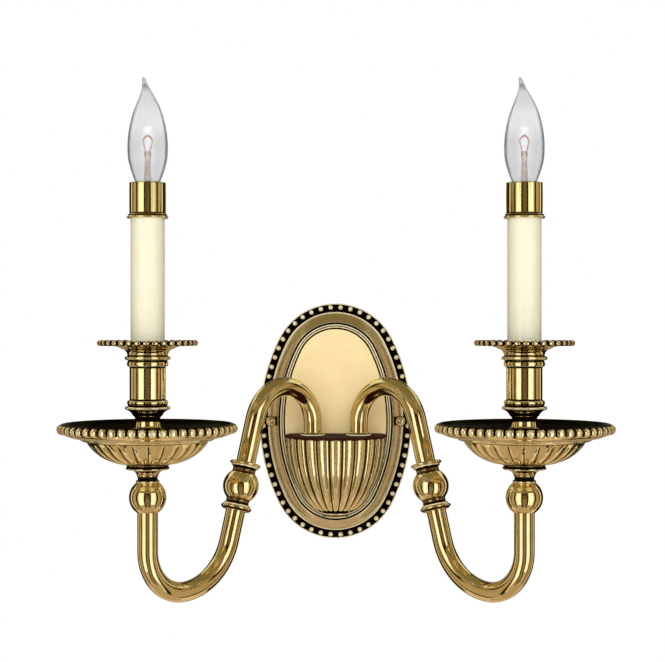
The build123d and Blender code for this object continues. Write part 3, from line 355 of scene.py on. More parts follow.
def grooves(line, closed=True, reach=PATINA_AND_SHADE_REACH, rub=HIGHLIGHT_PER_RADIAN):
    """Patina and painted light along a counter-clockwise outline: inward turns dark with patina and painted
    shade, edges painted pale as highlights, below 0.

    Each is the sum over all turns that way of turn x exp(-(distance / reach)^2), up to 1. An edge's painted
    highlight spreads over two thirds of the reach of a groove, and the last argument says how strong it is.
    """
    ahead = np.roll(line, -1, 0) - line
    back = line - np.roll(line, 1, 0)
    turn = np.arctan2(back[:, 0] * ahead[:, 1] - back[:, 1] * ahead[:, 0], (back * ahead).sum(1))
    if not closed:
        turn[[0, -1]] = 0
    distance = np.hypot(*(line[:, None] - line[None]).transpose(2, 0, 1))
    dark = 1.1 * (np.clip(-turn, 0, None) * np.exp(-(distance / reach) ** 2)).sum(1)
    rubbed = rub * (np.clip(turn, 0, None) * np.exp(-(distance / (0.67 * reach)) ** 2)).sum(1) - 0.15
    dark = np.clip(dark, 0, 1)
    return dark - np.clip(rubbed, 0, 1) * np.clip(1 - 2 * dark, 0, 1)


def spun(line, patina_and_painted_light, closed=True, around=AROUND, lean=None):
    """Surface of revolution: each (radius, height) of the line goes once round the Z axis.

    lean is a (3, 3) array whose rows are where X, Y and Z of the turned shape point.
    """
    grid = about_z(line[:, 0, None], full_turn(around), line[:, 1, None])
    return grid_part(grid if lean is None else grid @ lean, patina_and_painted_light, close_rows=closed)


def turned(steps, corner=CORNER, closed=True, around=AROUND, reach=PATINA_AND_SHADE_REACH, lean=None, rub=HIGHLIGHT_PER_RADIAN):
    """Turned shape from the steps of its outline, counter-clockwise with the radius across, the height up."""
    line = softened(traced(steps, closed), corner, closed)
    return spun(line, grooves(line, closed, reach, rub), closed, around, lean)


def smooth_curve(points, samples):
    """Curve through points: cubics whose slope at a point is that between the points beside it."""
    points = np.asarray(points, float)
    slope = np.gradient(points, axis=0)
    place = np.linspace(0, len(points) - 1, samples)
    index = np.minimum(place.astype(int), len(points) - 2)
    share = (place - index)[:, None]
    rise = share ** 2 * (3 - 2 * share)
    leave, arrive = share * (1 - share) ** 2 * slope[index], share ** 2 * (1 - share) * slope[index + 1]
    return (1 - rise) * points[index] + rise * points[index + 1] + leave - arrive


def lobes(turn, count, fullness):
    """Round swellings about Z, 1 on the middle of each flute or gadroon and 0 where it meets the next one."""
    across = 2 * ((turn / (2 * pi) * count + 0.5) % 1.0) - 1
    low = sqrt(1 - fullness ** 2)
    return (np.sqrt(1 - (fullness * across) ** 2) - low) / (1 - low)


def bead_string(circle, height, count, half_width, half_height, gap=3.0, along=8, about=10):
    """Row of beads round Z: a rod with an upright oval section that swells and shrinks along each bead.

    Its scale is (1 - |phase|^2.6)^0.45 with the phase from -1 to 1 along a bead, and never under a fifth.
    The side that faces the dish is painted black as shade, as is the rod where gap - 3.3 x scale is over 1,
    and the crowns are painted pale as highlights.
    """
    phase = -np.cos(pi * np.arange(along) / along)
    turn = ((np.arange(count)[:, None] + (phase[None] + 1) / 2 - 0.5) / count).ravel() * 2 * pi + pi / count
    scale = np.tile(np.maximum((1 - np.abs(phase) ** 2.6) ** 0.45, 0.2), count)
    section = full_turn(about)[:, None]
    outward, upward = np.cos(section), np.sin(section)
    grid = about_z(circle + half_width * scale * outward, turn, height + half_height * scale * upward)
    dark = np.clip(gap - 3.3 * scale, 0, 1) + np.clip(-2 * outward - 0.3, 0, 1)
    crown = np.clip(12 * scale - 10.8, 0, 1) * np.clip(2.5 * outward - 0.4, 0, 1)
    return grid_part(grid, np.clip(dark, 0, 1) - 0.55 * crown, close_rows=True)


# ---- finishes
class Nodes:
    """Node tree of a material or of the world; what adds a node returns its output."""

    def __init__(self, owner):
        owner.use_nodes = True
        self.tree = owner.node_tree

    def feed(self, socket, value):
        """Link an output to an input, or set the input's constant."""
        if isinstance(value, bpy.types.NodeSocket):
            self.tree.links.new(value, socket)
        else:
            socket.default_value = (*value, 1.0) if socket.type == "RGBA" else value

    def add(self, kind, output, inputs=(), **settings):
        """One node with its settings and its (input, value) pairs."""
        node = self.tree.nodes.new(kind)
        for key, value in settings.items():
            setattr(node, key, value)
        for key, value in inputs:
            self.feed(node.inputs[key], value)
        return node.outputs[output]

    def place(self):
        """Object coordinates, in metres."""
        return self.add("ShaderNodeTexCoord", "Object")

    def noise(self, scale, detail=3.0, roughness=0.55, stretch=(1, 1, 1)):
        """Noise with a scale in cells per metre."""
        mapped = self.add("ShaderNodeMapping", "Vector", [("Vector", self.place()), ("Scale", stretch)])
        inputs = [("Vector", mapped), ("Scale", scale), ("Detail", detail), ("Roughness", roughness)]
        return self.add("ShaderNodeTexNoise", "Fac", inputs)

    def ramp(self, value, low, high, low_out=0.0, high_out=1.0):
        """Smooth step from low_out to high_out as the value goes from low to high."""
        span = [("From Min", low), ("From Max", high), ("To Min", low_out), ("To Max", high_out)]
        return self.add("ShaderNodeMapRange", 0, [("Value", value), *span], interpolation_type="SMOOTHSTEP")

    def mottle(self, scale, low=0.0, high=1.0, **how):
        """Noise spread between two values."""
        return self.ramp(self.noise(scale, **how), 0.3, 0.7, low, high)

    def mix(self, share, first, second):
        """Colour between two others."""
        return self.add("ShaderNodeMix", 2, [(0, share), (6, first), (7, second)], data_type="RGBA")

    def math(self, operation, first, second):
        """Result of an operation on two values."""
        return self.add("ShaderNodeMath", 0, [(0, first), (1, second)], operation=operation)


class Finish(Nodes):
    """Material with the usual surface shader."""

    def __init__(self, name):
        self.material = bpy.data.materials.new(name)
        super().__init__(self.material)
        self.shader = self.tree.nodes["Principled BSDF"]

    def set(self, key, value):
        """Link or set one input of the shader."""
        self.feed(self.shader.inputs[key], value)

    def bump(self, height, strength, distance=0.0001):
        """Fine relief on the surface, its distance in metres."""
        inputs = [("Height", height), ("Strength", strength), ("Distance", distance)]
        self.set("Normal", self.add("ShaderNodeBump", "Normal", inputs))


# Patina with painted shade: brown, then black in the deepest marks.
PATINA_AND_SHADE_BROWN = (0.26, 0.16, 0.055)
PATINA_AND_SHADE_BLACK = (0.010, 0.006, 0.004)
# Colour of the painted pale highlight.
PAINTED_HIGHLIGHT_PALE = (1.0, 0.89, 0.60)
DRAWN_LINE = (0.12, 0.10, 0.03)
# Painted shade in the glass, where it looks denser: from which height to which, in metres, and by how much.
GLASS_PAINTED_SHADE = ((0.236, 0.222, 0.1), (0.244, 0.258, 0.08), (0.260, 0.267, 0.35))


def brass_finish(name, clean, warm, roughness, metallic=1.0, drawn=0.0):
    """Lacquered brass: clean to warm clouds, faint polishing marks, black-brown patina with painted shade,
    painted pale highlights.

    The patina and painted shade darken as the mark of a point, made ragged by noise, goes from 0.2 to 0.85,
    and a pale highlight is painted as it goes from -0.15 to -0.75. drawn is how much the fine upright lines
    of drawn sheet show.
    """
    finish = Finish(name)
    colour = finish.mix(finish.ramp(finish.noise(70, 4.0), 0.35, 0.68), clean, warm)
    if drawn:
        lines = finish.ramp(finish.noise(330, 2.0, 0.5, (1, 1, 0.01)), 0.58, 0.64, 0.0, drawn)
        colour = finish.mix(lines, colour, DRAWN_LINE)
    patina_and_painted_light = finish.add("ShaderNodeAttribute", "Fac", attribute_name="patina_and_painted_light")
    ragged = finish.math("ADD", patina_and_painted_light, finish.mottle(900, -0.1, 0.1, roughness=0.7))
    dark = finish.ramp(ragged, 0.2, 0.85)
    # Painted highlight: pale and less metallic, so it stays light whatever the metal mirrors.
    rubbed = finish.ramp(ragged, -0.75, -0.15, 1.0, 0.0)
    # Patina and painted shade: brown first, then black.
    colour = finish.mix(finish.ramp(dark, 0.0, 0.6), colour, PATINA_AND_SHADE_BROWN)
    colour = finish.mix(finish.ramp(dark, 0.45, 1.0), colour, PATINA_AND_SHADE_BLACK)
    finish.set("Base Color", finish.mix(finish.math("MULTIPLY", rubbed, 0.85), colour, PAINTED_HIGHLIGHT_PALE))
    finish.set("Metallic", finish.ramp(rubbed, 0.0, 1.0, metallic, 0.3 * metallic))
    worn = finish.mottle(260, roughness, roughness + 0.05, detail=4.0)
    finish.set("Roughness", finish.math("ADD", worn, finish.math("MULTIPLY", dark, 0.3)))
    finish.bump(finish.noise(240, 2.0, 0.4), 0.08, 0.0002)
    return finish.material


def painted_finish(name, colour, shade, roughness, metallic=0.0, specular=0.5):
    """Plain plated, moulded or enamelled surface with a slight grain."""
    finish = Finish(name)
    finish.set("Base Color", finish.mix(finish.mottle(400, detail=4.0), colour, shade))
    finish.set("Metallic", metallic)
    finish.set("Specular IOR Level", specular)
    finish.set("Roughness", finish.mottle(160, roughness, roughness + 0.12))
    finish.bump(finish.noise(800), 0.25)
    return finish.material


def sleeve_finish():
    """Cream candle sleeve: faint vertical streaks, a slight glow and a soft waxy gloss."""
    finish = Finish("cream_sleeve")
    streaks = finish.mottle(260, detail=4.0, roughness=0.6, stretch=(1, 1, 0.06))
    colour = finish.mix(streaks, (0.82, 0.79, 0.58), (0.85, 0.82, 0.62))
    blotches = finish.math("MULTIPLY", finish.ramp(finish.noise(90), 0.35, 0.7), 0.35)
    finish.set("Base Color", finish.mix(blotches, colour, (0.87, 0.82, 0.57)))
    finish.set("Subsurface Weight", 0.15)
    finish.set("Subsurface Radius", (0.004, 0.003, 0.0015))
    finish.set("Coat Weight", 0.15)
    finish.set("Coat Roughness", 0.2)
    finish.set("Roughness", finish.mottle(300, 0.38, 0.5))
    finish.bump(finish.noise(500, 3.0, 0.6, (1, 1, 0.1)), 0.2)
    return finish.material


def glass_finish(name, tint, edge, roughness=0.0, grain=60, film=0.03):
    """Clear glass with painted shade: its colour darker towards its outline, over its lower and upper parts
    and most at its tip.
    """
    finish = Finish(name)
    facing = finish.add("ShaderNodeLayerWeight", "Facing", [("Blend", 0.46)])
    share = finish.math("ADD", finish.ramp(facing, 0.4, 0.8), finish.mottle(grain, 0.0, film))
    height = finish.add("ShaderNodeSeparateXYZ", "Z", [("Vector", finish.place())])
    for start, end, amount in GLASS_PAINTED_SHADE:
        share = finish.math("ADD", share, finish.ramp(height, start, end, 0.0, amount))
    finish.set("Base Color", finish.mix(finish.math("MINIMUM", share, 1.0), tint, edge))
    finish.set("Transmission Weight", 1.0)
    finish.set("IOR", 1.47)
    finish.set("Roughness", finish.ramp(finish.noise(200, 2.0), 0.4, 0.7, roughness, roughness + 0.02))
    return finish.material


def filament_glow_finish():
    """Tungsten wire with a painted dull orange glow."""
    finish = Finish("filament_wire")
    finish.set("Base Color", finish.mix(finish.mottle(900), (0.14, 0.07, 0.04), (0.30, 0.17, 0.10)))
    finish.set("Metallic", 1.0)
    finish.set("Roughness", 0.35)
    finish.set("Emission Color", (1.0, 0.52, 0.24))
    finish.set("Emission Strength", 0.3)
    return finish.material


BRASS = brass_finish("polished_brass", (0.90, 0.78, 0.45), (0.83, 0.68, 0.35), 0.07)
BRIGHT_BRASS = brass_finish("bright_brass", (0.93, 0.83, 0.43), (0.88, 0.76, 0.36), 0.07, drawn=0.5)
SATIN_BRASS = brass_finish("satin_brass", (1.0, 0.80, 0.41), (0.98, 0.76, 0.37), 0.5, metallic=0.05)
SOFT_BRASS = brass_finish("softened_brass", (0.94, 0.82, 0.57), (0.88, 0.76, 0.51), 0.2)
# Near-black cover with almost no gloss.
NEAR_BLACK_COVER = painted_finish("near_black_cover", (0.045, 0.01, 0.006), (0.028, 0.007, 0.004), 0.5, specular=0.02)
STEEL = painted_finish("plated_steel", (0.62, 0.60, 0.56), (0.48, 0.46, 0.43), 0.28, 1.0)
GREEN_STEEL = painted_finish("green_steel", (0.03, 0.22, 0.06), (0.05, 0.30, 0.09), 0.35, 0.6)
HOLDER_PLASTIC = painted_finish("holder_plastic", (0.075, 0.065, 0.055), (0.10, 0.085, 0.07), 0.5)
CONNECTOR_PLASTIC = painted_finish("connector_plastic", (0.68, 0.26, 0.03), (0.58, 0.20, 0.02), 0.45)
LEAD_INSULATION = painted_finish("lead_insulation", (0.66, 0.62, 0.50), (0.60, 0.56, 0.44), 0.5)
SLEEVE = sleeve_finish()
GLASS = glass_finish("clear_glass", (0.92, 0.92, 0.93), (0.04, 0.04, 0.05))
MOUNT_GLASS = glass_finish("mount_glass", (0.86, 0.76, 0.70), (0.16, 0.11, 0.09), 0.05, 700, 0.4)
FILAMENT_WITH_GLOW = filament_glow_finish()


# ---- backplate
OUT_OF_WALL = np.array([[1.0, 0, 0], [0, 0, 1], [0, -1, 0]])
END_CENTRE = PLATE_HALF_HEIGHT - PLATE_END_RADIUS
PLATE_SIDE_RADIUS = ((PLATE_HALF_WIDTH ** 2 + PLATE_HALF_HEIGHT * (END_CENTRE - PLATE_END_RADIUS))
                     / (2 * (PLATE_HALF_WIDTH - PLATE_END_RADIUS)))
SIDE_CENTRE = PLATE_SIDE_RADIUS - PLATE_HALF_WIDTH
SIDE_HALF_ANGLE = asin(END_CENTRE / hypot(SIDE_CENTRE, END_CENTRE))
BORDER_REACH = 0.55          # of the patina and painted shade out of the border's grooves
# How strongly a highlight is painted on the border's edges.
BORDER_HIGHLIGHT = 2.0
PAINTED_HIGHLIGHT_TOP = -0.8              # painted highlight on the tops of the ridge and the crest
FLAT = 0.002                 # faces nearer than this to the panel's plane lie in it


def oval(angle, inset):
    """Points of the inset four-centre oval at angles of its outward normal: arc centre + radius x normal."""
    on_side = np.abs(np.sin(angle)) < sin(SIDE_HALF_ANGLE)
    centre_x = np.where(on_side, -np.sign(np.cos(angle)) * SIDE_CENTRE, 0)
    centre_y = np.where(on_side, 0, np.sign(np.sin(angle)) * END_CENTRE)
    radius = np.where(on_side, PLATE_SIDE_RADIUS, PLATE_END_RADIUS) - inset
    return centre_x + radius * np.cos(angle), centre_y + radius * np.sin(angle)


def cove_faces(x, y):
    """True between the ridge and the crest: inside the oval of the one, outside the oval of the other."""
    def within(inset):
        end = np.hypot(x, np.abs(y) - END_CENTRE) < PLATE_END_RADIUS - inset
        side = np.hypot(np.abs(x) + SIDE_CENTRE, y) < PLATE_SIDE_RADIUS - inset
        upper = np.abs(y) > END_CENTRE + np.abs(x) * np.tan(SIDE_HALF_ANGLE)
        return np.where(upper, end, side)
    return within(RIDGE_INSET + 0.6) & ~within(COVE_INSET)


def plate_border():
    """Outlines of the border as (minus inset, height): its face from the lip to the panel, and its back."""
    rim, channel, ridge, cove, crest = 0, -CHANNEL_INSET, -RIDGE_INSET, -COVE_INSET, -CREST_INSET
    inner, wall = -PANEL_INSET - 1.0, -PLATE_WALL - 0.3
    front = [
        (rim - 0.3, 0), (rim, PLATE_RIM_HEIGHT - 1.0), (rim - 0.8, PLATE_RIM_HEIGHT, 0.3),
        (rim - 1.2, CHANNEL_HEIGHT), (channel, CHANNEL_HEIGHT), (channel - 0.2, RIDGE_HEIGHT - 0.4),
        (ridge, RIDGE_HEIGHT - 0.2, 0.45), (ridge - 0.2, COVE_FOOT_HEIGHT + 0.3),
        (cove, COVE_TOP_HEIGHT, -0.5), (cove - 0.3, COVE_TOP_HEIGHT - 0.9),
        (crest + 0.1, COVE_TOP_HEIGHT - 0.8), (crest, CREST_HEIGHT - 0.5),
        (crest - 1.1, CREST_HEIGHT - 0.5, 0.45), (crest - 1.4, CREST_HEIGHT - 1.1),
        (crest - 1.8, CREST_HEIGHT - 0.8), (crest - 2.9, CREST_HEIGHT - 0.9, 0.45),
        (crest - 3.3, PANEL_HEIGHT - 0.2), (-PANEL_INSET, PANEL_HEIGHT), (inner, PANEL_HEIGHT),
    ]
    face_of_back = [
        (inner, PANEL_HEIGHT), (crest, PANEL_HEIGHT), (cove, COVE_TOP_HEIGHT - 0.7),
        (ridge - 0.6, COVE_FOOT_HEIGHT - 0.3), (channel, CHANNEL_HEIGHT), (wall, CHANNEL_HEIGHT),
    ]
    return front, [(across, height - PLATE_WALL) for across, height in face_of_back] + [(wall, 0)]


def border_patina_and_light(front, back):
    """Channel on the face black with patina and painted shade, clean ridge and cove, and painted pale
    highlights on the tops of the ridge and the crest.
    """
    marks = grooves(front, False, BORDER_REACH, BORDER_HIGHLIGHT)
    shade = np.concatenate([marks, grooves(back, False, BORDER_REACH)])
    inset, height = np.concatenate([front, back]).T * np.array([[-1], [1]])
    ridge = (inset < RIDGE_INSET + 2.0) & (height > COVE_FOOT_HEIGHT)
    shade = np.where(ridge, np.minimum(shade, 0), shade)
    ridge_top = (np.abs(inset - (CHANNEL_INSET + RIDGE_INSET) / 2) < 1.3) & (height > RIDGE_HEIGHT - 0.45)
    crest_top = (inset > CREST_INSET - 0.1) & (height > CREST_HEIGHT - 0.72)
    shade = np.where(ridge_top | crest_top, PAINTED_HIGHLIGHT_TOP, shade)
    channel = (inset > 1.0) & (inset < CHANNEL_INSET + 0.4) & (height < RIDGE_HEIGHT - 1.2)
    return np.where(channel & (np.arange(len(shade)) < len(front)), 1.0, shade)


def plate_body(around=288, steps=6):
    """The border carried round the oval, and the flat panel as straight lines from it to the wire hole."""
    front, back = (softened(traced(way, False), 0.2, False) for way in plate_border())
    line = np.concatenate([front, back])
    angle = full_turn(around)
    x, y = oval(angle[None], -line[:, 0, None])
    border = np.stack([x, y, np.broadcast_to(line[:, 1, None], x.shape)], -1)
    inner = len(front)
    hole = about_z(WIRE_HOLE_RADIUS, angle, 0)[:, :2] + [0, WIRE_HOLE_Z]
    share = np.linspace(0, 1, steps + 1)[1:, None, None]
    panel = border[inner - 1, :, :2] * (1 - share) + hole * share
    top, under = (np.concatenate([panel, np.full(panel.shape[:2] + (1,), height)], -1)
                  for height in (PANEL_HEIGHT, PANEL_HEIGHT - PLATE_WALL))
    grid = np.concatenate([border[:inner], top, under[::-1], border[inner:]])
    dark = np.insert(border_patina_and_light(front, back), inner, np.zeros(2 * steps))
    return grid_part(grid @ OUT_OF_WALL, dark, close_rows=True)


def plate_beads(around=12, rows=7):
    """Round beads, evenly spaced along the channel; each is a ball turned about its way out of the wall."""
    x, y = oval(np.linspace(0, 2 * pi, 4001), BEAD_INSET)
    run = np.concatenate([[0], np.cumsum(np.hypot(np.diff(x), np.diff(y)))])
    wanted = (np.arange(PLATE_BEADS) + 0.5) / PLATE_BEADS * run[-1]
    rise = np.linspace(-pi / 2, pi / 2, rows)[:, None]
    ball = PLATE_BEAD_RADIUS * about_z(np.cos(rise), full_turn(around), np.sin(rise))
    # Painted shade on the wall side of each bead, a painted highlight on its front half.
    dark = np.clip(-2.4 * rise[:, 0] - 0.7, -0.7, 1)
    height = CHANNEL_HEIGHT + PLATE_BEAD_RISE * PLATE_BEAD_RADIUS
    return [grid_part((np.array([*place, height]) + ball) @ OUT_OF_WALL, dark)
            for place in zip(np.interp(wanted, run, x), np.interp(wanted, run, y))]


def stud_pair(steps, **how):
    """Turned shape at both studs, standing out from the wall."""
    shape = turned(steps, closed=False, around=48, lean=OUT_OF_WALL, **how)
    return [moved(shape, x) for x in (-STUD_X, STUD_X)]


def make_backplate():
    """Backplate: border, panel, beads and the two bosses under the cap nuts."""
    root = COVE_FOOT_HEIGHT - PLATE_WALL
    bosses = stud_pair([(0, root), (BOSS_RADIUS, root), (BOSS_RADIUS, BOSS_HEIGHT), (0, BOSS_HEIGHT)])
    plate = piece("backplate_body", [plate_body(), *plate_beads(), *bosses], replaces=("backplate",)).data
    plate.materials.append(SATIN_BRASS)
    plate.materials.append(SOFT_BRASS)
    middles = np.zeros(3 * len(plate.polygons), np.float32)
    plate.polygons.foreach_get("center", middles)
    x, height, z = middles[0::3] / MM, -middles[1::3] / MM, middles[2::3] / MM
    on_panel = np.abs(height - PANEL_HEIGHT) < FLAT
    on_cove = cove_faces(x, z) & (height > COVE_FOOT_HEIGHT) & ~on_panel
    plate.polygons.foreach_set("material_index", (on_panel + 2 * on_cove).astype(np.int32))


def make_cap_nuts():
    """Round domed nuts left and right on the plate."""
    base = BOSS_HEIGHT + FIT
    dome = base + CAP_NUT_COLLAR
    crown = CAP_NUT_RADIUS - 0.4
    nut = [(0, base), (CAP_NUT_RADIUS, base), (CAP_NUT_RADIUS, dome - 0.2), (CAP_NUT_RADIUS - 0.35, dome),
           (0, dome + crown, 0.29 * crown)]
    # Edges of the nuts painted pale as highlights.
    piece("cap_nut_domes", stud_pair(nut, reach=1.2, rub=0.9), SOFT_BRASS, replaces=("cap_nuts",))


# ---- bowl
PANEL_CUT = ((0, -PANEL_HEIGHT - FIT, 0), (0, 1, 0))      # the bowl and its cover end flat on the panel


def bowl_surface(rows=90, across=14):
    """Half egg with convex flutes.

    The outline is radius R cos t, depth D sin t. Each point is pushed in along the outline's normal by
    flute depth x (1 - lobe) x fade, where the lobe swells across each flute and the fade ends the flutes in
    round petal tips near the foot.
    """
    t = np.linspace(0, pi / 2, rows)[:, None]
    turn = full_turn(BOWL_FLUTES * across)
    swell = lobes(turn, BOWL_FLUTES, FLUTE_FULLNESS)
    radius, depth = BOWL_RADIUS * np.cos(t), BOWL_DEPTH * np.sin(t)
    outward, downward = BOWL_DEPTH * np.cos(t), BOWL_RADIUS * np.sin(t)
    length = np.hypot(outward, downward)
    tip = PETAL_START + PETAL_ROUND * np.sqrt(np.clip(swell, 0, 1))
    fade = 1 / (1 + np.exp((t - tip) / PETAL_EDGE))
    narrow = np.clip(radius / BOWL_RADIUS, 0.05, 1) ** 0.7
    push = FLUTE_DEPTH * narrow * (1 - swell * fade)
    radius = np.clip(radius - push * outward / length, 0, None)
    height = BOWL_TOP_Z - (depth - push * downward / length)
    radius[-1] = 0
    height[-1] = height[-1].mean()
    # Patina and painted shade between the flutes and below the petal tips, a painted highlight on the flute
    # crests.
    groove = np.clip(2.1 - 3.6 * swell, 0, 1) + np.clip((t - tip) / radians(2), 0, 0.9)
    ridge = np.clip(4 * swell - 3.3, 0, 0.38)
    shade = np.clip(groove, 0, 1) - ridge
    return moved(grid_part(about_z(radius, turn, height)[::-1], shade[::-1]), y=-BOWL_AXIS_OUT)


def make_bowl():
    """Fluted half bowl with its foot ring, cut off flat at the plate."""
    piece("bowl_flutes", [bowl_surface()], replaces=("bowl_shell",), cut=PANEL_CUT, thicken=BOWL_WALL)
    foot, z = BOWL_FOOT_RADIUS, BOWL_TOP_Z - BOWL_DEPTH
    ring = turned([
        (foot - 4, z - 0.4), (foot - 0.6, z - 0.4), (foot + 0.5, z + 1.0, 0.5), (foot + 1.6, z + 1.5),
        (foot + 2.0, z + 2.8, 0.5), (foot - 4, z + 2.8),
    ])
    piece("bowl_foot_ring", [moved(ring, y=-BOWL_AXIS_OUT)])


# ---- arms
LEAN_SIN, LEAN_COS = sin(radians(ARM_LEAN)), cos(radians(ARM_LEAN))
KNOP_LEVEL = KNOP_U * LEAN_COS + KNOP_Z * LEAN_SIN
OUTER_LOOP_RADIUS = (KNOP_LEVEL - LOOP_U * LEAN_COS - LOOP_TOP_Z * LEAN_SIN) / (1 - LEAN_SIN)
INNER_BEND_RADIUS = (BEND_U * LEAN_COS + BEND_Z * LEAN_SIN - KNOP_LEVEL) / (1 - LEAN_SIN)
OUTER_BEND_RADIUS = ARM_REACH - BEND_U
TUBE_STOP = KNOP_NECK_END - SOCKET_DEPTH
BALL_SOCKET_Z = ARM_BALL_Z - sqrt(ARM_BALL_RADIUS ** 2 - TUBE_RADIUS ** 2) + SOCKET_DEPTH
BALL_TOP_Z = ARM_BALL_Z + sqrt(ARM_BALL_RADIUS ** 2 - ARM_BALL_TOP_RADIUS ** 2)


def arm_arc(centre_u, centre_z, radius, start, end):
    """Arc of the centre line, (u, z) and the way it turns, every two degrees or so."""
    angle = np.radians(np.linspace(start, end, int(abs(end - start) / 2) + 2))
    way = np.sign(end - start)
    line = np.stack([centre_u + radius * np.cos(angle), centre_z + radius * np.sin(angle)], -1)
    tangent = way * np.stack([-np.sin(angle), np.cos(angle)], -1)
    return np.concatenate([line, tangent], -1)


def straight(start, end, count=6):
    """Straight stretch of the centre line from start up to end."""
    start, end = np.array(start), np.array(end)
    way = (end - start) / np.hypot(*(end - start))
    line = start + (end - start) * np.linspace(0, 1, count)[:, None]
    return np.concatenate([line, np.broadcast_to(way, line.shape)], -1)


def along_lean(distance):
    """(u, z) on the leaning stretch, a distance below the knop's centre."""
    return KNOP_U + distance * LEAN_SIN, KNOP_Z - distance * LEAN_COS


def loop_line():
    """Centre line from the bowl cover up, over and down to the knop."""
    line = [
        straight((0, ARM_ROOT_Z), (0, LOOP_TOP_Z - LOOP_U), 4),
        arm_arc(LOOP_U, LOOP_TOP_Z - LOOP_U, LOOP_U, 180, 90)[1:],
        arm_arc(LOOP_U, LOOP_TOP_Z - OUTER_LOOP_RADIUS, OUTER_LOOP_RADIUS, 90, ARM_LEAN)[1:],
    ]
    return np.concatenate([*line, straight(line[-1][-1, :2], along_lean(-TUBE_STOP))[1:]])


def bend_line():
    """Centre line from the knop down, round and up to the ball."""
    inner = arm_arc(BEND_U, BEND_Z + INNER_BEND_RADIUS, INNER_BEND_RADIUS, 180 + ARM_LEAN, 270)
    outer = arm_arc(BEND_U, BEND_Z + OUTER_BEND_RADIUS, OUTER_BEND_RADIUS, 270, 360)[1:]
    down = straight(along_lean(TUBE_STOP), inner[0, :2])[:-1]
    return np.concatenate([down, inner, outer, straight(outer[-1, :2], (ARM_REACH, BALL_SOCKET_Z))[1:]])


def mirrored(part, side):
    """The part on the other side of the plate: X turns over and the faces are wound the other way."""
    points, quads, triangles, shade = part
    if side > 0:
        return part
    return points * np.array([-1, 1, 1]), quads[:, ::-1], triangles[:, ::-1], shade


def tube_part(side, centre_line):
    """Arm tube: the ring of its section carried along the centre line, outside there and inside back."""
    u, z, du, dz = centre_line.T
    turn = full_turn(40)
    walls = []
    for radius, step in ((TUBE_RADIUS, 1), (TUBE_RADIUS - TUBE_WALL, -1)):
        across = radius * np.cos(turn)
        ring_u = u[::step, None] + across * dz[::step, None]
        ring_z = z[::step, None] - across * du[::step, None]
        walls.append(np.stack([ring_u, np.broadcast_to(radius * np.sin(turn), ring_u.shape), ring_z]))
    along, aside, height = np.concatenate(walls, 1)
    x = ARM_ROOT_X + along * cos(ARM_PLAN) + aside * sin(ARM_PLAN)
    y = -(ARM_ROOT_OUT + along * sin(ARM_PLAN)) + aside * cos(ARM_PLAN)
    return mirrored(grid_part(np.stack([x, y, height], -1), close_rows=True), side)


def knop_part(side, steps, rub):
    """Piece turned about the leaning stretch of the arm, centred on the knop."""
    flat = np.array([cos(ARM_PLAN), -sin(ARM_PLAN), 0])
    up = np.array([0, 0, 1.0])
    axis = LEAN_COS * up - LEAN_SIN * flat
    across = LEAN_COS * flat + LEAN_SIN * up
    # Wide patina and painted shade in the knop's necks.
    shape = turned(steps, reach=1.2, lean=np.stack([across, np.cross(axis, across), axis]), rub=rub)
    x, y = ARM_ROOT_X + KNOP_U * cos(ARM_PLAN), -(ARM_ROOT_OUT + KNOP_U * sin(ARM_PLAN))
    return mirrored(moved(shape, x, y, KNOP_Z), side)


def flange_outline():
    """Ring on the bowl cover, round the arm: a thick foot and a thinner step."""
    bore, edge = TUBE_RADIUS + 0.1, FLANGE_RADIUS
    z = BOWL_TOP_Z + 0.1 + COVER_THICKNESS
    return [
        (bore, z), (edge, z), (edge, z + 1.5, 0.5), (edge - 0.8, z + 1.6),
        (edge - 1.0, z + FLANGE_HEIGHT, 0.4), (bore, z + FLANGE_HEIGHT + 0.1, 0.1),
    ]


def knop_outlines():
    """Outlines round the leaning stretch: the ball with a beaded neck at both ends, and the two collars."""
    bore, neck, lip = TUBE_RADIUS + 0.12, KNOP_NECK_RADIUS, KNOP_NECK_RADIUS + 1.0
    end, waist = KNOP_NECK_END, sqrt(KNOP_RADIUS ** 2 - KNOP_NECK_RADIUS ** 2)
    ball = [
        (bore, -end), (lip, -end), (lip, -end + 1.4, 0.5), (neck, -end + 1.8), (neck + 0.1, -waist, -0.4),
        (neck + 0.1, waist, KNOP_RADIUS - neck), (neck, end - 1.8, -0.4), (lip, end - 1.4), (lip, end, 0.5),
        (bore, end),
    ]
    near, far = end + FIT, end + FIT + COLLAR_THICKNESS
    bow = COLLAR_THICKNESS / 2
    edge = COLLAR_RADIUS - bow
    return {
        "ball": ball,
        "collar_top": [(bore, near), (edge, near), (edge, far, bow), (bore, far)],
        "collar_bottom": [(bore, -far), (edge, -far, bow), (edge, -near, bow), (bore, -near)],
    }


def make_arm(name, side):
    """Both tubes of an arm, its flange on the bowl cover, and its knop with two collars."""
    for label, line in (("upper", loop_line()), ("lower", bend_line())):
        piece(f"{name}_arm_{label}_tube", [tube_part(side, line)], replaces=(f"{name}_arm_{label}",))
    # The flange's edges are painted pale as highlights.
    flange = moved(turned(flange_outline(), 0.15, rub=1.1), side * ARM_ROOT_X, -ARM_ROOT_OUT)
    piece(f"{name}_flange_ring", [flange], replaces=(f"{name}_arm_flange",))
    for node, steps in knop_outlines().items():
        # The ball's edges take the usual painted highlight, the collars a weaker one.
        label, rub = ("knop", HIGHLIGHT_PER_RADIAN) if node == "ball" else (node, 0.3)
        piece(f"{name}_{label}", [knop_part(side, steps, rub)], replaces=(f"{name}_knop_{node}",))


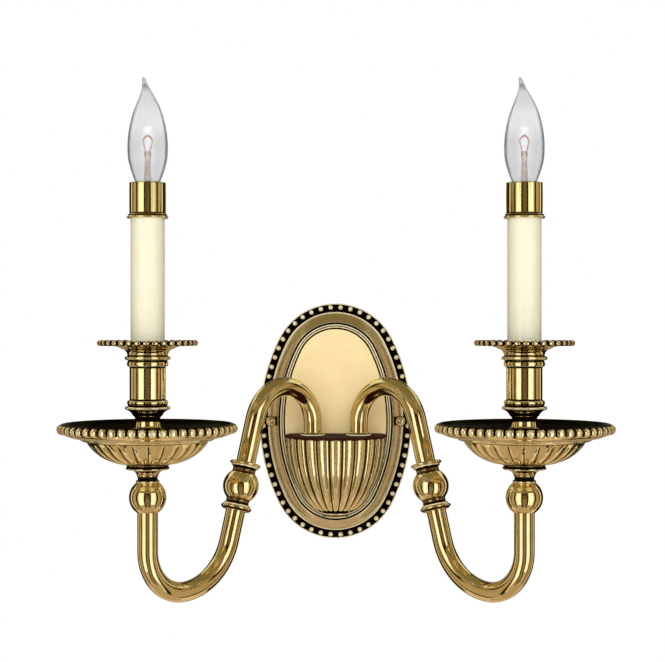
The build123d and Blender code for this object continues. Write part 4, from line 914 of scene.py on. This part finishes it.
# ---- candle stack
def ball_outline():
    """Hollow ball on the arm's end, with a flat at its top and a small lip round the tube."""
    bore, lip = TUBE_RADIUS + 0.1, TUBE_RADIUS + 0.62
    bottom = ARM_BALL_Z - sqrt(ARM_BALL_RADIUS ** 2 - lip ** 2)
    half_chord = hypot(ARM_BALL_TOP_RADIUS - lip, BALL_TOP_Z - bottom) / 2
    bow = half_chord ** 2 / (ARM_BALL_RADIUS + sqrt(ARM_BALL_RADIUS ** 2 - half_chord ** 2))
    return [
        (STEM_BORE, BALL_SOCKET_Z), (bore, BALL_SOCKET_Z), (bore, bottom), (lip, bottom),
        (ARM_BALL_TOP_RADIUS, BALL_TOP_Z, bow), (STEM_BORE, BALL_TOP_Z),
    ]


def seat_outline():
    """Stepped cup under the drip pan: foot ring, hollow neck, flaring bell and top ring."""
    base, top, edge = BALL_TOP_Z + FIT, SEAT_TOP_Z, SEAT_RADIUS
    return [
        (STEM_BORE, base), (8.6, base), (8.6, base + 1.3, 0.6), (8.0, base + 1.6), (8.1, base + 4.6, -0.5),
        (12.1, top - 4.3, -0.9), (12.9, top - 3.9), (edge - 0.9, top - 3.5), (edge - 0.6, top - 1.9, 0.5),
        (edge - 1.4, top - 1.7), (edge - 1.3, top, 0.4), (STEM_BORE, top),
    ]


def cup_outline():
    """Turned column: foot, waist, lower rings, column, upper rings and neck."""
    base, low, high, top = SEAT_TOP_Z + 2.1, CUP_RING_Z, CUP_TOP_Z - 3.0, CUP_TOP_Z
    foot, ring, column, neck = CUP_FOOT_RADIUS, CUP_RING_RADIUS, CUP_COLUMN_RADIUS, CUP_PAN_NECK_RADIUS
    return [
        (STEM_BORE, base), (foot, base), (foot, base + 2.2, 0.6), (11.4, 1.0, -2.4), (11.6, 3.2, 0.8),
        (10.3, 4.2), (CUP_NECK_RADIUS, 9.6, -0.3), (10.2, 12.6, -0.2), (11.9, 14.6, 0.2),
        (ring - 1.4, low - 1.3, -0.5), (ring - 1.4, low + 1.1, 1.1), (column + 1.0, low + 1.7),
        (column + 1.4, low + 2.3), (column + 1.4, low + 5.6, 0.5), (column, low + 6.1), (column, high - 6.8),
        (column + 1.5, high - 6.3), (column + 1.5, high - 2.6, 0.5), (column + 1.0, high - 2.0),
        (ring - 1.5, high - 1.5), (ring - 1.5, high + 1.3, 1.3), (neck - 1.1, high + 1.7), (neck - 1.0, top),
        (CUP_BORE, top), (CUP_BORE, low + 4.0), (STEM_BORE, low + 2.0),
    ]


def pan_outline():
    """Drip pan: floor, belly, step, shallow flare and beaded rim below, then the dished upper face."""
    bottom, step, rim = SEAT_TOP_Z + FIT, GADROON_Z + 1.0, PAN_RIM_Z
    floor, belly, circle = PAN_FLOOR_RADIUS, GADROON_RADIUS, PAN_RADIUS - PAN_BEAD_WIDTH / 2
    lip = rim + PAN_BEAD_HEIGHT / 2 + 0.1
    return [
        (STEM_BORE, bottom), (floor - 0.6, bottom), (floor, bottom + 0.4), (belly, GADROON_Z, 3.9),
        (belly + 0.5, step - 0.2), (belly + 1.5, step), (belly + 5.0, step + 1.2, 0.5),
        (belly + 5.2, step + 1.7), (circle - 1.2, rim - 3.4, 0.7), (circle - 0.8, rim - 2.4),
        (circle - 0.8, lip), (circle - 2.0, lip, 0.4), (circle - 3.0, rim + 1.0),
        (belly + 5.5, step + 4.0, 0.9), (belly - 2.0, GADROON_Z + 1.4, 0.5), (floor, bottom + 2.5, -3.4),
        (floor - 0.6, bottom + 2.0), (STEM_BORE, bottom + 2.0),
    ]


def gadrooned_pan(across=12):
    """The pan's surface of revolution with its belly pressed into lobes.

    On the belly each point moves inwards, square to the outline, by depth x (1 - lobe) x fade; the depth
    falls with the radius, so the lobes run to points at the floor. The upper face is painted near black with
    patina and painted shade, the flare painted pale as a highlight.
    """
    line = softened(traced(pan_outline(), spacing=30), 0.25)
    radius, height = line.T
    turn = full_turn(PAN_GADROONS * across)
    swell = lobes(turn, PAN_GADROONS, GADROON_FULLNESS)
    slope = np.roll(line, -1, 0) - np.roll(line, 1, 0)
    slope = slope / np.maximum(np.hypot(*slope.T), SAME_PLACE)[:, None]
    outward, upward = slope[:, 1], -slope[:, 0]
    row = np.arange(len(line))
    below = row < np.argmax(radius)
    belly = below & (radius > PAN_FLOOR_RADIUS + 0.1) & (radius < GADROON_RADIUS + 0.2) & (upward < 0)
    share = (radius - PAN_FLOOR_RADIUS) / (GADROON_RADIUS - PAN_FLOOR_RADIUS)
    fade = np.where(belly, np.clip(share * 6, 0, 1) * np.clip((1.0 - share) * 14, 0.25, 1), 0)
    depth = GADROON_DEPTH * np.clip(radius / GADROON_RADIUS, 0, 1) ** 1.3 * fade
    push = depth[:, None] * (1 - swell)
    grid = about_z(radius[:, None] - push * outward[:, None], turn, height[:, None] - push * upward[:, None])
    # Patina and painted shade between the lobes, a painted highlight on their crests.
    marks = np.clip(1.8 - 4.0 * swell, 0, 1.5) - 0.2 * np.clip(4 * swell - 2.4, 0, 1)
    dark = grooves(line)[:, None] + fade[:, None] * marks
    # The flare is painted pale as a highlight.
    flare = below & (radius > GADROON_RADIUS + 1.6) & (radius < PAN_RADIUS - 6.0)
    dark = np.where(flare[:, None], np.minimum(dark, -0.32), dark)
    # Patina and painted shade inside the pan.
    inside = ((row > np.argmax(height)) | (height > PAN_RIM_Z)) & (radius > CUP_FOOT_RADIUS)
    return grid_part(grid, np.clip(np.where(inside[:, None], 0.92, dark), -1, 1), close_rows=True)


def cup_pan_part():
    """Small dish under the candle, with its socket in the column; its hollow top is painted black with patina
    and painted shade.
    """
    socket, neck, circle = CUP_BORE - 0.12, CUP_PAN_NECK_RADIUS, CUP_PAN_RADIUS - CUP_PAN_BEAD_RADIUS
    base, floor, rim = CUP_TOP_Z + FIT, CUP_PAN_FLOOR_Z, CUP_PAN_RIM_Z
    line = softened(traced([
        (STEM_BORE, floor - 1.6), (socket, floor - 1.6), (socket, base), (neck - 0.9, base),
        (neck + 3.4, base + 4.0, -0.9), (circle - 6.0, rim - 2.2, -0.9), (circle - 0.6, rim - 1.5, 0.3),
        (circle, rim + 1.0), (circle - 2.4, rim + 1.2), (circle - 8.0, rim - 0.4, -0.3),
        (SLEEVE_RADIUS + 5.0, floor, -0.5), (STEM_BORE, floor),
    ]), 0.25)
    inside = (np.arange(len(line)) > np.argmax(line[:, 0])) & (line[:, 0] > SLEEVE_RADIUS + 0.5)
    return spun(line, np.where(inside, 0.95, grooves(line)))


def sleeve_outline():
    """Candle sleeve: plain tube with a rounded foot."""
    inner, outer = SLEEVE_RADIUS - SLEEVE_WALL, SLEEVE_RADIUS
    foot, top = CUP_PAN_FLOOR_Z + 0.35, CAP_TOP_Z - CAP_WALL - FIT
    return [(inner, foot), (outer, foot), (outer, top), (inner, top)]


def cap_outline():
    """Sleeve cap: rolled collar, straight wall and a rounded top with the lamp's opening."""
    inner, collar, low, top = SLEEVE_RADIUS + 0.12, CAP_COLLAR_RADIUS - 0.5, CAP_BOTTOM_Z, CAP_TOP_Z
    outer = inner + CAP_WALL
    return [
        (inner, low), (collar, low), (collar, low + 1.7, 0.5), (outer + 0.7, low + 2.1),
        (outer + 0.7, low + 3.2, 0.3), (outer, low + 3.6), (outer, top - 1.0, 0.1), (outer - 0.8, top, 0.35),
        (CAP_OPENING_RADIUS, top), (CAP_OPENING_RADIUS, top - CAP_WALL), (inner, top - CAP_WALL),
    ]


# ---- lamp
GLASS_PROFILE = [        # radius and height of the blown glass, from its neck up to the drawn-off tip
    (6.4, GLASS_FOOT_Z), (9.3, 191.9), (11.3, 196.7), (12.8, 201.3), (14.1, 205.9), (15.05, 211.0),
    (15.35, 217.5), (15.3, 222.5), (14.75, 228.8), (14.0, 233.4), (13.0, 238.0), (11.8, 242.6),
    (10.3, 247.2), (8.4, 251.8), (6.3, 256.3), (4.2, 261.0), (2.6, 265.2), (1.7, 269.0),
]
INNER_GLASS_END = 268.0      # the hollow of the glass ends here, and the tip above it is solid


def glass_skin(inset, rows=70):
    """One face of the blown glass: the profile once round, its axis bending sideways near the tip.

    Above the height where it starts, the bend is tip bend x ((height - start) / (tip - start))^2.2; the end
    closes in a round drop.
    """
    line = smooth_curve(GLASS_PROFILE, rows)
    radius, height = line[-1]
    drop = np.linspace(0, pi / 2, 6)[1:]
    crown = np.stack([radius * np.cos(drop), height + (GLASS_TIP_Z - height) * np.sin(drop)], -1)
    line = np.concatenate([line, crown])
    line[-1, 0] = 0
    if inset:
        line = line[line[:, 1] < INNER_GLASS_END]
        line = np.concatenate([line - [inset, 0], [[0, line[-1, 1] + 0.2]]])
    radius, height = line[:, 0, None], line[:, 1, None]
    bend = GLASS_TIP_BEND * np.clip((height - GLASS_BEND_Z) / (GLASS_TIP_Z - GLASS_BEND_Z), 0, 1) ** 2.2
    return about_z(radius, full_turn(64), height) - bend[..., None] * [1, 0, 0]


def glass_part():
    """Glass wall: inner face down and outer face up, joined at the neck, with a pole at each end."""
    return grid_part(np.concatenate([glass_skin(GLASS_WALL)[::-1], glass_skin(0)]))


def mount_outline():
    """Pressed glass mount inside the lamp: flared foot, thin stalk and a flattened head."""
    base, hang = GLASS_FOOT_Z, FILAMENT_Z
    return [
        (0, base), (5.4, base), (2.9, base + 7.0, -1.0), (2.1, base + 18.0), (2.6, hang - 11.5, -0.2),
        (1.9, hang - 8.6, 0.5), (0, hang - 8.0),
    ]


def wire(points, radius, about=6):
    """Round wire along a curve: a ring square to the way at each point, capped by shrinking its end rings."""
    ahead = np.gradient(points, axis=0)
    ahead /= np.linalg.norm(ahead, axis=1)[:, None]
    aside = np.cross(ahead, [0.0, 1.0, 0.02])
    aside /= np.linalg.norm(aside, axis=1)[:, None]
    turn = full_turn(about)[:, None]
    size = np.full((len(points), 1, 1), radius)
    size[[0, -1]] = 0
    ring = aside[:, None] * np.cos(turn) + np.cross(ahead, aside)[:, None] * np.sin(turn)
    return grid_part(points[:, None] + size * ring)


def filament_parts():
    """Two support wires from the mount, and a fine coil hung in an arch between their tips."""
    bend = [(1.0, -12.5), (1.5, -9.0), (2.2, -6.0), (3.2, -3.0), (FILAMENT_HALF_SPAN, 0.0), (3.3, 0.8)]
    supports = [smooth_curve([(side * x, 0, FILAMENT_Z + z) for x, z in bend], 24) for side in (-1, 1)]
    share, windings, coil = np.linspace(-1, 1, 301), 22, 0.6
    turn = share * windings * pi
    height = FILAMENT_Z + 0.8 + 2.6 * (1 - share ** 2) + coil * np.sin(turn)
    arch = np.stack([3.3 * share, coil * np.cos(turn), height], -1)
    return [*(wire(line, 0.38) for line in supports), wire(arch, 0.2, 5)]


def make_candle(name, side):
    """Everything on one candle's axis that shows; each piece stands for the CAD node of that side."""
    def stack(label, parts, node, material=None, body="root"):
        placed = [moved(part, side * CANDLE_X, CANDLE_Y) for part in parts]
        piece(f"{name}_{label}", placed, material, body, replaces=(f"{name}_{node}",))

    half_width, half_height, bead = PAN_BEAD_WIDTH / 2, PAN_BEAD_HEIGHT / 2, CUP_PAN_BEAD_RADIUS
    pan_beads = bead_string(PAN_RADIUS - half_width, PAN_RIM_Z, PAN_BEADS, half_width, half_height)
    cup_beads = bead_string(CUP_PAN_RADIUS - bead, CUP_PAN_RIM_Z, CUP_PAN_BEADS, bead, bead, gap=3.4)
    stack("ball", [turned(ball_outline())], "arm_ball")
    # Seat and column: wide patina and painted shade in their necks, painted highlights on their edges.
    stack("seat", [turned(seat_outline(), 0.2, reach=1.1, rub=0.8)], "pan_seat")
    stack("pan", [gadrooned_pan(), pan_beads], "drip_pan")
    stack("column", [turned(cup_outline(), 0.25, reach=0.8, rub=0.8)], "candle_cup")
    stack("beaded_dish", [cup_pan_part(), cup_beads], "cup_pan")
    candle, lamp = f"{name}_candle", f"{name}_lamp"
    stack("sleeve", [turned(sleeve_outline(), 0.25)], "candle_sleeve", SLEEVE, candle)
    stack("cap", [turned(cap_outline(), 0.25)], "sleeve_cap", BRIGHT_BRASS, candle)
    stack("bulb", [glass_part()], "lamp_glass", GLASS, lamp)
    mount = turned(mount_outline(), closed=False, around=32)
    stack("mount", [mount], "lamp_stem", MOUNT_GLASS, lamp)
    stack("coil", filament_parts(), "lamp_filament", FILAMENT_WITH_GLOW, lamp)


# ---- pieces that keep their CAD shape
KEPT_FINISHES = {
    "mounting_strap": STEEL, "strap_studs": STEEL, "stud_nuts": STEEL, "bowl_screws": STEEL,
    "arm_locknuts": STEEL, "ground_screw": GREEN_STEEL, "bowl_cover": NEAR_BLACK_COVER,
    "wire_connectors": CONNECTOR_PLASTIC,
}
KEPT_SIDE_FINISHES = {
    "threaded_stem": STEEL, "stem_nuts": STEEL, "holder_bracket": STEEL, "holder_shell": BRIGHT_BRASS,
    "holder_contact": BRIGHT_BRASS, "lamp_base": BRIGHT_BRASS, "lamp_holder": HOLDER_PLASTIC,
    "lamp_lead": LEAD_INSULATION,
}


def finish_kept_nodes():
    """Give each CAD node that shows as it is its finish."""
    finishes = dict(KEPT_FINISHES)
    for name in SIDES:
        finishes.update({f"{name}_{node}": material for node, material in KEPT_SIDE_FINISHES.items()})
    for node, material in finishes.items():
        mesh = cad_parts[node].data
        mesh.materials.clear()
        mesh.materials.append(material)


# ---- stage, camera and light
CAMERA_PLACE = (-2.7, -1357.0, 78.1)
SENSOR_WIDTH = 36.0
CAMERA_LENS = 84.2
CAMERA_FAR_END = 50.0        # metres
FLOOR_Z = -330.0
ROOM_CENTRE = (0, -150, 40)
ROOM_RADIUS = 1700.0
UNSEEN_BY = ("camera", "diffuse", "shadow", "transmission", "volume_scatter")
WHITE = (1.0, 1.0, 1.0)
DIM_WHITE = (0.50, 0.49, 0.48)
LAMP_SIZE = 1300.0
LAMPS = {"lamp_left": (-260, 9.9), "lamp_right": (260, 8.2)}      # place across, and watts

# Cards that the polished metal mirrors: name, degrees to the right of the way to the camera, degrees above
# level, colour. The first ones are single, the second ones are on both sides.
BLACK = (0.02, 0.012, 0.006)
PALE_TAN = (0.78, 0.58, 0.38)
MIDDLE_CARDS = [
    ("camera", (-13, 13), (-8, 18), (0.17, 0.115, 0.055)),
    ("camera_top", (-23, 23), (18, 26), BLACK),
    ("camera_low", (-13, 13), (-62, -8), (0.29, 0.205, 0.10)),
    ("ceiling", (-180, 180), (46, 90), (0.24, 0.19, 0.08)),
    ("floor", (-180, 180), (-90, -62), (0.56, 0.41, 0.26)),
]
SIDE_CARDS = [
    ("band_13", (13, 23), (-62, 26), BLACK),
    ("band_23", (23, 52), (-42, 26), (1.45, 1.44, 1.32)),
    ("band_52", (52, 60), (-62, 26), (0.85, 0.77, 0.54)),
    ("band_60", (60, 72), (-62, 26), BLACK),
    ("band_72", (72, 94), (-62, 26), (0.52, 0.37, 0.21)),
    ("band_94", (94, 104), (-62, 26), BLACK),
    ("band_104", (104, 116), (-62, 26), (0.95, 0.84, 0.60)),
    ("band_116", (116, 154), (-42, 26), BLACK),
    ("low", (23, 52), (-62, -42), (0.58, 0.43, 0.27)),
    ("upper", (0, 34), (26, 46), (0.30, 0.20, 0.11)),
    ("upper_side", (34, 104), (26, 46), (0.31, 0.25, 0.12)),
    ("upper_back", (104, 150), (26, 46), (0.95, 0.90, 0.66)),
    ("behind", (154, 180), (-42, 26), (0.36, 0.28, 0.17)),
    ("behind_top", (150, 180), (26, 46), BLACK),
    ("behind_low", (116, 180), (-62, -42), PALE_TAN),
]


def stage_sheet(name, points, faces, material):
    """Part of the studio, not of the sconce."""
    mesh = bpy.data.meshes.new(name)
    mesh.from_pydata(np.asarray(points, float) * MM, [], faces)
    mesh.materials.append(material)
    sheet = scene_object(name, mesh)
    return sheet


def floor_finish():
    """Pale floor with a very faint mottle."""
    finish = Finish("pale_floor")
    finish.set("Base Color", finish.mix(finish.mottle(6), (0.86, 0.85, 0.83), (0.90, 0.89, 0.87)))
    finish.set("Roughness", 0.6)
    return finish.material


def card_finish(name, colour):
    """Matt card that gives its own even light."""
    finish = Finish(name)
    deep = tuple(0.85 * channel for channel in colour)
    cloudy = finish.mix(finish.mottle(3, detail=2.0), colour, deep)
    glow = finish.add("ShaderNodeEmission", 0, [("Color", cloudy)])
    finish.feed(finish.tree.nodes["Material Output"].inputs["Surface"], glow)
    finish.tree.nodes.remove(finish.shader)
    return finish.material


def room_card(name, sides, heights, colour, rows=9, columns=13):
    """Card seen only in reflections: the part of a ball about the sconce between two directions each way."""
    turn = np.radians(np.linspace(*sides, columns)) - pi / 2
    rise = np.radians(np.linspace(*heights, rows))[:, None]
    points = np.array(ROOM_CENTRE) + ROOM_RADIUS * about_z(np.cos(rise), turn, np.sin(rise))
    faces = sheet_faces(rows, columns, False, False).tolist()
    card = stage_sheet(name, points.reshape(-1, 3), faces, card_finish(name, colour))
    for ray in UNSEEN_BY:
        setattr(card, f"visible_{ray}", False)


def make_stage():
    """Pale floor below the sconce, and the cards whose reflections draw its edges."""
    floor = [(-1500, -1700, FLOOR_Z), (1500, -1700, FLOOR_Z), (1500, 450, FLOOR_Z), (-1500, 450, FLOOR_Z)]
    stage_sheet("studio_floor", floor, [(0, 1, 2, 3)], floor_finish()).visible_glossy = False
    for name, sides, heights, colour in MIDDLE_CARDS:
        room_card(f"card_{name}", sides, heights, colour)
    for name, sides, heights, colour in SIDE_CARDS:
        for word, side in SIDES.items():
            room_card(f"card_{name}_{word}", [side * degrees for degrees in sides], heights, colour)


def make_camera():
    """Level camera facing the wall, as the photograph was taken."""
    camera = scene_object("camera", bpy.data.cameras.new("camera"))
    camera.data.sensor_width = SENSOR_WIDTH
    camera.data.lens = CAMERA_LENS
    camera.data.clip_end = CAMERA_FAR_END
    camera.location = Vector(CAMERA_PLACE) * MM
    camera.rotation_euler = (pi / 2, 0, 0)
    bpy.context.scene.camera = camera


def soft_light(name, across, power):
    """Square soft lamp above the camera, aimed at the sconce."""
    place, target = Vector((across, -1650, 330)), Vector((0, -100, 0))
    data = bpy.data.lights.new(name, "AREA")
    data.shape = "SQUARE"
    data.size = LAMP_SIZE * MM
    data.energy = power
    lamp = scene_object(name, data)
    lamp.location = place * MM
    lamp.rotation_euler = (target - place).to_track_quat("-Z", "Y").to_euler()
    lamp.visible_glossy = False          # the cards stand for the lamps in the polished metal


def make_light():
    """Even pale surroundings, white to the camera, metal and glass, and two soft lamps."""
    world = bpy.data.worlds.new("studio")
    bpy.context.scene.world = world
    nodes = Nodes(world)
    path = nodes.tree.nodes.new("ShaderNodeLightPath").outputs
    seen = nodes.math("MAXIMUM", path["Is Camera Ray"], path["Is Glossy Ray"])
    seen = nodes.math("MAXIMUM", seen, path["Is Transmission Ray"])
    background = nodes.tree.nodes["Background"].inputs
    nodes.feed(background["Color"], nodes.mix(seen, DIM_WHITE, WHITE))
    background["Strength"].default_value = 1.0
    for name, (across, power) in LAMPS.items():
        soft_light(name, across, power)


make_backplate()
make_cap_nuts()
make_bowl()
for side_name, side_sign in SIDES.items():
    make_arm(side_name, side_sign)
    make_candle(side_name, side_sign)
finish_kept_nodes()
make_stage()
make_camera()
make_light()
bpy.context.scene.view_settings.view_transform = "Standard"
